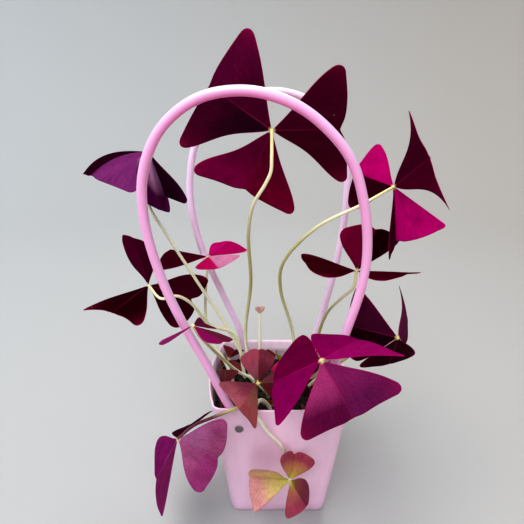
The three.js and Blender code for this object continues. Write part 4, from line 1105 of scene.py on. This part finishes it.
# The pale share of a stalk is partly its own colour and partly painted light on stalks that stand in the
# light.
pale = node(flesh_tree, "ShaderNodeAttribute", attribute_name="pale")
paler = node(flesh_tree, "ShaderNodeMix", {
    0: pale.outputs["Fac"], 6: ramp.outputs["Color"], 7: linear("#f4f2d8")}, data_type="RGBA")
red = node(flesh_tree, "ShaderNodeAttribute", attribute_name="red")
red_end = node(flesh_tree, "ShaderNodeMapRange", {"Value": along.outputs["Fac"], 1: 0.55, 2: 0.7})
red_part = node(flesh_tree, "ShaderNodeMath", {
    0: red_end, 1: red.outputs["Fac"]}, operation="MULTIPLY")
reddened = node(flesh_tree, "ShaderNodeMix", {
    0: red_part, 6: paler, 7: linear("#5a1c2c")}, data_type="RGBA")
blush = node(flesh_tree, "ShaderNodeTexNoise", {
    "Vector": place, "Scale": per_metre(STALK_BLUSH_MM), "Detail": 2.0})
pinker = node(flesh_tree, "ShaderNodeMapRange", {"Value": blush.outputs["Fac"], 1: 0.55, 2: 0.85, 4: 0.4})
flushed = node(flesh_tree, "ShaderNodeMix", {
    0: pinker, 6: reddened, 7: linear("#d0a08c")}, data_type="RGBA")
ridge = node(flesh_tree, "ShaderNodeTexNoise", {
    "Vector": place, "Scale": per_metre(STALK_LINE_MM), "Detail": 2.0})
wet = node(flesh_tree, "ShaderNodeMapRange", {"Value": ridge.outputs["Fac"], 3: 0.3, 4: 0.5})
bump = node(flesh_tree, "ShaderNodeBump", {
    "Strength": 0.2, "Distance": 0.0002, "Height": ridge.outputs["Fac"]})
wire(flesh_tree, flesh_shader, Base_Color=flushed, Roughness=wet, Normal=bump)

# %% Stalk pieces
STALK_BASE = 1.3
STALK_TIP = 0.85
STALK_SIDES = 12
STALK_STEPS = 12
for name, leaf in LEAVES.items():
    path, length = smooth_path([*leaf["stalk"], leaf["hub"]], len(leaf["stalk"]) * STALK_STEPS)
    stalk = swept_piece(f"{name}_stalk", path, STALK_BASE, STALK_TIP, STALK_SIDES, flesh)
    for key in ("pale", "red"):
        store(stalk, key, [leaf.get(key, 0.0)] * len(stalk.data.vertices))
    finish_piece(stalk, "stalk", f"stalk_{name}")

# %% [markdown]
# ## Soil
# The pot is filled to a low mound of dark potting soil: a lumpy ground with crumbs lying on
# it. Crumbs are what repeats here, so a tree scatters a rough little stone over the top
# with a fixed seed, in many sizes and turns.

# %% Soil material
# Peat compost: damp, crumbly plant remains, almost black, with brown and olive bits a few
# millimetres across, and no shine but for a little dampness.
PEAT_BIT_MM = 2.381
PEAT_GRAIN_MM = 1.429
peat, peat_tree, peat_shader = start_material("damp_peat_compost", IOR=1.4)
place = node(peat_tree, "ShaderNodeTexCoord").outputs["Object"]
bits = node(peat_tree, "ShaderNodeTexVoronoi", {"Vector": place, "Scale": per_metre(PEAT_BIT_MM)})
dirt = node(peat_tree, "ShaderNodeTexNoise", {
    "Vector": place, "Scale": per_metre(PEAT_GRAIN_MM), "Detail": 6.0, "Roughness": 0.7})
which = node(peat_tree, "ShaderNodeValToRGB", {"Fac": bits.outputs["Color"]})
set_ramp(which, [(0.0, "#0d0907"), (0.45, "#1d140e"), (0.72, "#2e2116"), (0.88, "#4a3a20"),
                 (0.96, "#5c5a2c")])
darker = node(peat_tree, "ShaderNodeMix", {
    0: dirt.outputs["Fac"], 6: linear("#080504"), 7: which.outputs["Color"]}, data_type="RGBA")
damp = node(peat_tree, "ShaderNodeMapRange", {"Value": dirt.outputs["Fac"], 3: 0.95, 4: 0.7})
bump = node(peat_tree, "ShaderNodeBump", {
    "Strength": 0.8, "Distance": 0.0006, "Height": dirt.outputs["Fac"]})
wire(peat_tree, peat_shader, Base_Color=darker, Roughness=damp, Normal=bump)

# %% Crumb tree
LUMPS_PER_METRE = 900.0
LUMP_SHOVE = 0.0022
CRUMB_SQUASH = (1.0, 0.8, 0.6)
crumbs, given = start_tree("crumbs_on_soil", {
    "Density": ("NodeSocketFloat", 100000.0), "Smallest": ("NodeSocketFloat", 0.001),
    "Largest": ("NodeSocketFloat", 0.002), "Seed": ("NodeSocketInt", 1),
    "Material": ("NodeSocketMaterial", None)})
bed = node(crumbs, "GeometryNodeInputNamedAttribute", {"Name": "bed"}, data_type="FLOAT")
spots = node(crumbs, "GeometryNodeDistributePointsOnFaces", {
    "Mesh": given.outputs["Geometry"], "Selection": bed,
    "Density": given.outputs["Density"], "Seed": given.outputs["Seed"]})
stone = node(crumbs, "GeometryNodeMeshIcoSphere", {"Radius": 1.0, "Subdivisions": 2})
turn = node(crumbs, "FunctionNodeRandomValue", {
    0: (0, 0, 0), 1: (6.3, 6.3, 6.3), "Seed": given.outputs["Seed"]}, data_type="FLOAT_VECTOR")
size = node(crumbs, "FunctionNodeRandomValue", {
    2: given.outputs["Smallest"], 3: given.outputs["Largest"], "Seed": given.outputs["Seed"]})
flat_size = node(crumbs, "ShaderNodeVectorMath", {0: size, 1: CRUMB_SQUASH}, operation="MULTIPLY")
laid = node(crumbs, "GeometryNodeInstanceOnPoints", {
    "Points": spots.outputs["Points"], "Instance": stone.outputs["Mesh"],
    "Rotation": turn, "Scale": flat_size})
real = node(crumbs, "GeometryNodeRealizeInstances", {"Geometry": laid})
spot = node(crumbs, "GeometryNodeInputPosition")
lump = node(crumbs, "ShaderNodeTexNoise", {"Vector": spot, "Scale": LUMPS_PER_METRE, "Detail": 1.0})
shove = node(crumbs, "ShaderNodeVectorMath", {
    0: lump.outputs["Color"], 1: (0.5, 0.5, 0.5)}, operation="SUBTRACT")
much = node(crumbs, "ShaderNodeVectorMath", {0: shove, "Scale": LUMP_SHOVE}, operation="SCALE")
rough_stone = node(crumbs, "GeometryNodeSetPosition", {"Geometry": real, "Offset": much})
joined = node(crumbs, "GeometryNodeJoinGeometry")
crumbs.links.new(given.outputs["Geometry"], joined.inputs[0])
crumbs.links.new(rough_stone.outputs[0], joined.inputs[0])
named = node(crumbs, "GeometryNodeSetMaterial", {
    "Geometry": joined, "Material": given.outputs["Material"]})
node(crumbs, "NodeGroupOutput", {"Geometry": named})
print("crumb tree:", len(crumbs.nodes), "nodes")

# %% Soil piece
SOIL_EDGE = 75
SOIL_MOUND = 4
SOIL_INSET = 1.8
SOIL_WALL = (1.5, 20, 40, 60, SOIL_EDGE - 1)
MOUND_STEPS = 36


def soil_lump(x, y):
    """Long and short ripples laid over each other."""
    broad = np.sin(x * 0.21 + 1.3) * np.cos(y * 0.26 - 0.4)
    fine = np.sin(x * 0.55 - y * 0.37) * np.cos(y * 0.61 + x * 0.2)
    small = np.sin(x * 1.7 + 2 * np.sin(y)) * np.sin(y * 1.9)
    return 0.7 * (broad + fine) + 0.35 * small


soil_rings = [pot_section(z, SOIL_INSET) for z in SOIL_WALL]
for shrink in np.linspace(1, 0.02, MOUND_STEPS):
    ring = pot_section(SOIL_EDGE, SOIL_INSET)
    ring[:, :2] *= shrink
    fade = np.clip((1 - shrink) * 6, 0, 1)
    ring[:, 2] += SOIL_MOUND * (1 - shrink ** 2) + fade * soil_lump(ring[:, 0], ring[:, 1])
    soil_rings.append(ring)
rows, columns = len(soil_rings), len(soil_rings[0])
soil = mesh_object("soil_mound", np.concatenate(soil_rings), capped_rings(rows, columns), peat)
store(soil, "bed", np.repeat(np.arange(rows) > len(SOIL_WALL), columns))
grown(soil, crumbs, density=160000.0, smallest=0.0006, largest=0.0021, seed=5, material=peat)
finish_piece(soil, "soil", "soil")

# %% [markdown]
# ## Dry leaf litter
# Old leaves of the plant have dried and fallen on the soil between the stalks: curled
# flakes of rust, dark red and straw. Each is a small leaflet like the others, rooted a
# little in the soil, so the function that makes a leaflet makes them too.

# %% Litter piece
FLAKE_ROOT = 0.5
LITTER = [
    dict(at=(-5, -23.5), a=(60, 20), b=(330, 20), length=6, tones=("#a0522a", "#7a3418")),
    dict(at=(26, 33), a=(30, 0), b=(325, 10), length=11, tones=("#8a3a24", "#6a2418")),
    dict(at=(34, 24), a=(45, 0), b=(350, 20), length=9, tones=("#a85a3c", "#8a3a24")),
    dict(at=(-3, 34), a=(20, 0), b=(340, 20), length=12, tones=("#6a2018", "#7a2a1c")),
    dict(at=(-8, 33), a=(10, 20), b=(330, -20), length=11, tones=("#5a1a18", "#6a2018")),
    dict(at=(4, 30), a=(25, 10), b=(335, 30), length=11, tones=("#a8a038", "#8a8430")),
    dict(at=(-38, -6), a=(20, 30), b=(345, 10), length=10, tones=("#7a2a20", "#8a3c28")),
    dict(at=(-37, 5), a=(10, 40), b=(345, 10), length=10, tones=("#6a2420", "#5a1c1c")),
    dict(at=(-36.5, -26), a=(20, 10), b=(350, 0), length=9, tones=("#7a2c20", "#5c1e1a")),
    dict(at=(-38, -15), a=(10, 0), b=(352, 10), length=8, tones=("#8a3824", "#6a2418")),
    dict(at=(-24, -27), a=(80, 20), b=(10, 40), length=7, tones=("#6a3a28", "#54281c")),
    dict(at=(20, -26), a=(300, 30), b=(230, 10), length=8, tones=("#5a3020", "#6a4028")),
    dict(at=(8, 12), a=(100, 40), b=(30, 20), length=8, tones=("#6a4028", "#5a3020")),
    dict(at=(-20, 24), a=(70, 30), b=(0, 20), length=9, tones=("#7a4a34", "#5a2c22")),
]
flakes = []
for index, flake in enumerate(LITTER):
    x, y = flake["at"]
    out = max(abs(x), abs(y)) / (pot_half(SOIL_EDGE) - SOIL_INSET)
    ground = SOIL_EDGE + SOIL_MOUND * (1 - out ** 2) + soil_lump(x, y)
    root = np.array([x, y, ground - FLAKE_ROOT])
    flakes.append(leaflet_mesh(root, flake, {"under": flake["tones"][1]}, 3 * index))
litter = joined_leaflets("dry_leaf_litter", flakes, LEAF_MATERIALS["leaf_old"])
finish_piece(litter, "leaf_old")
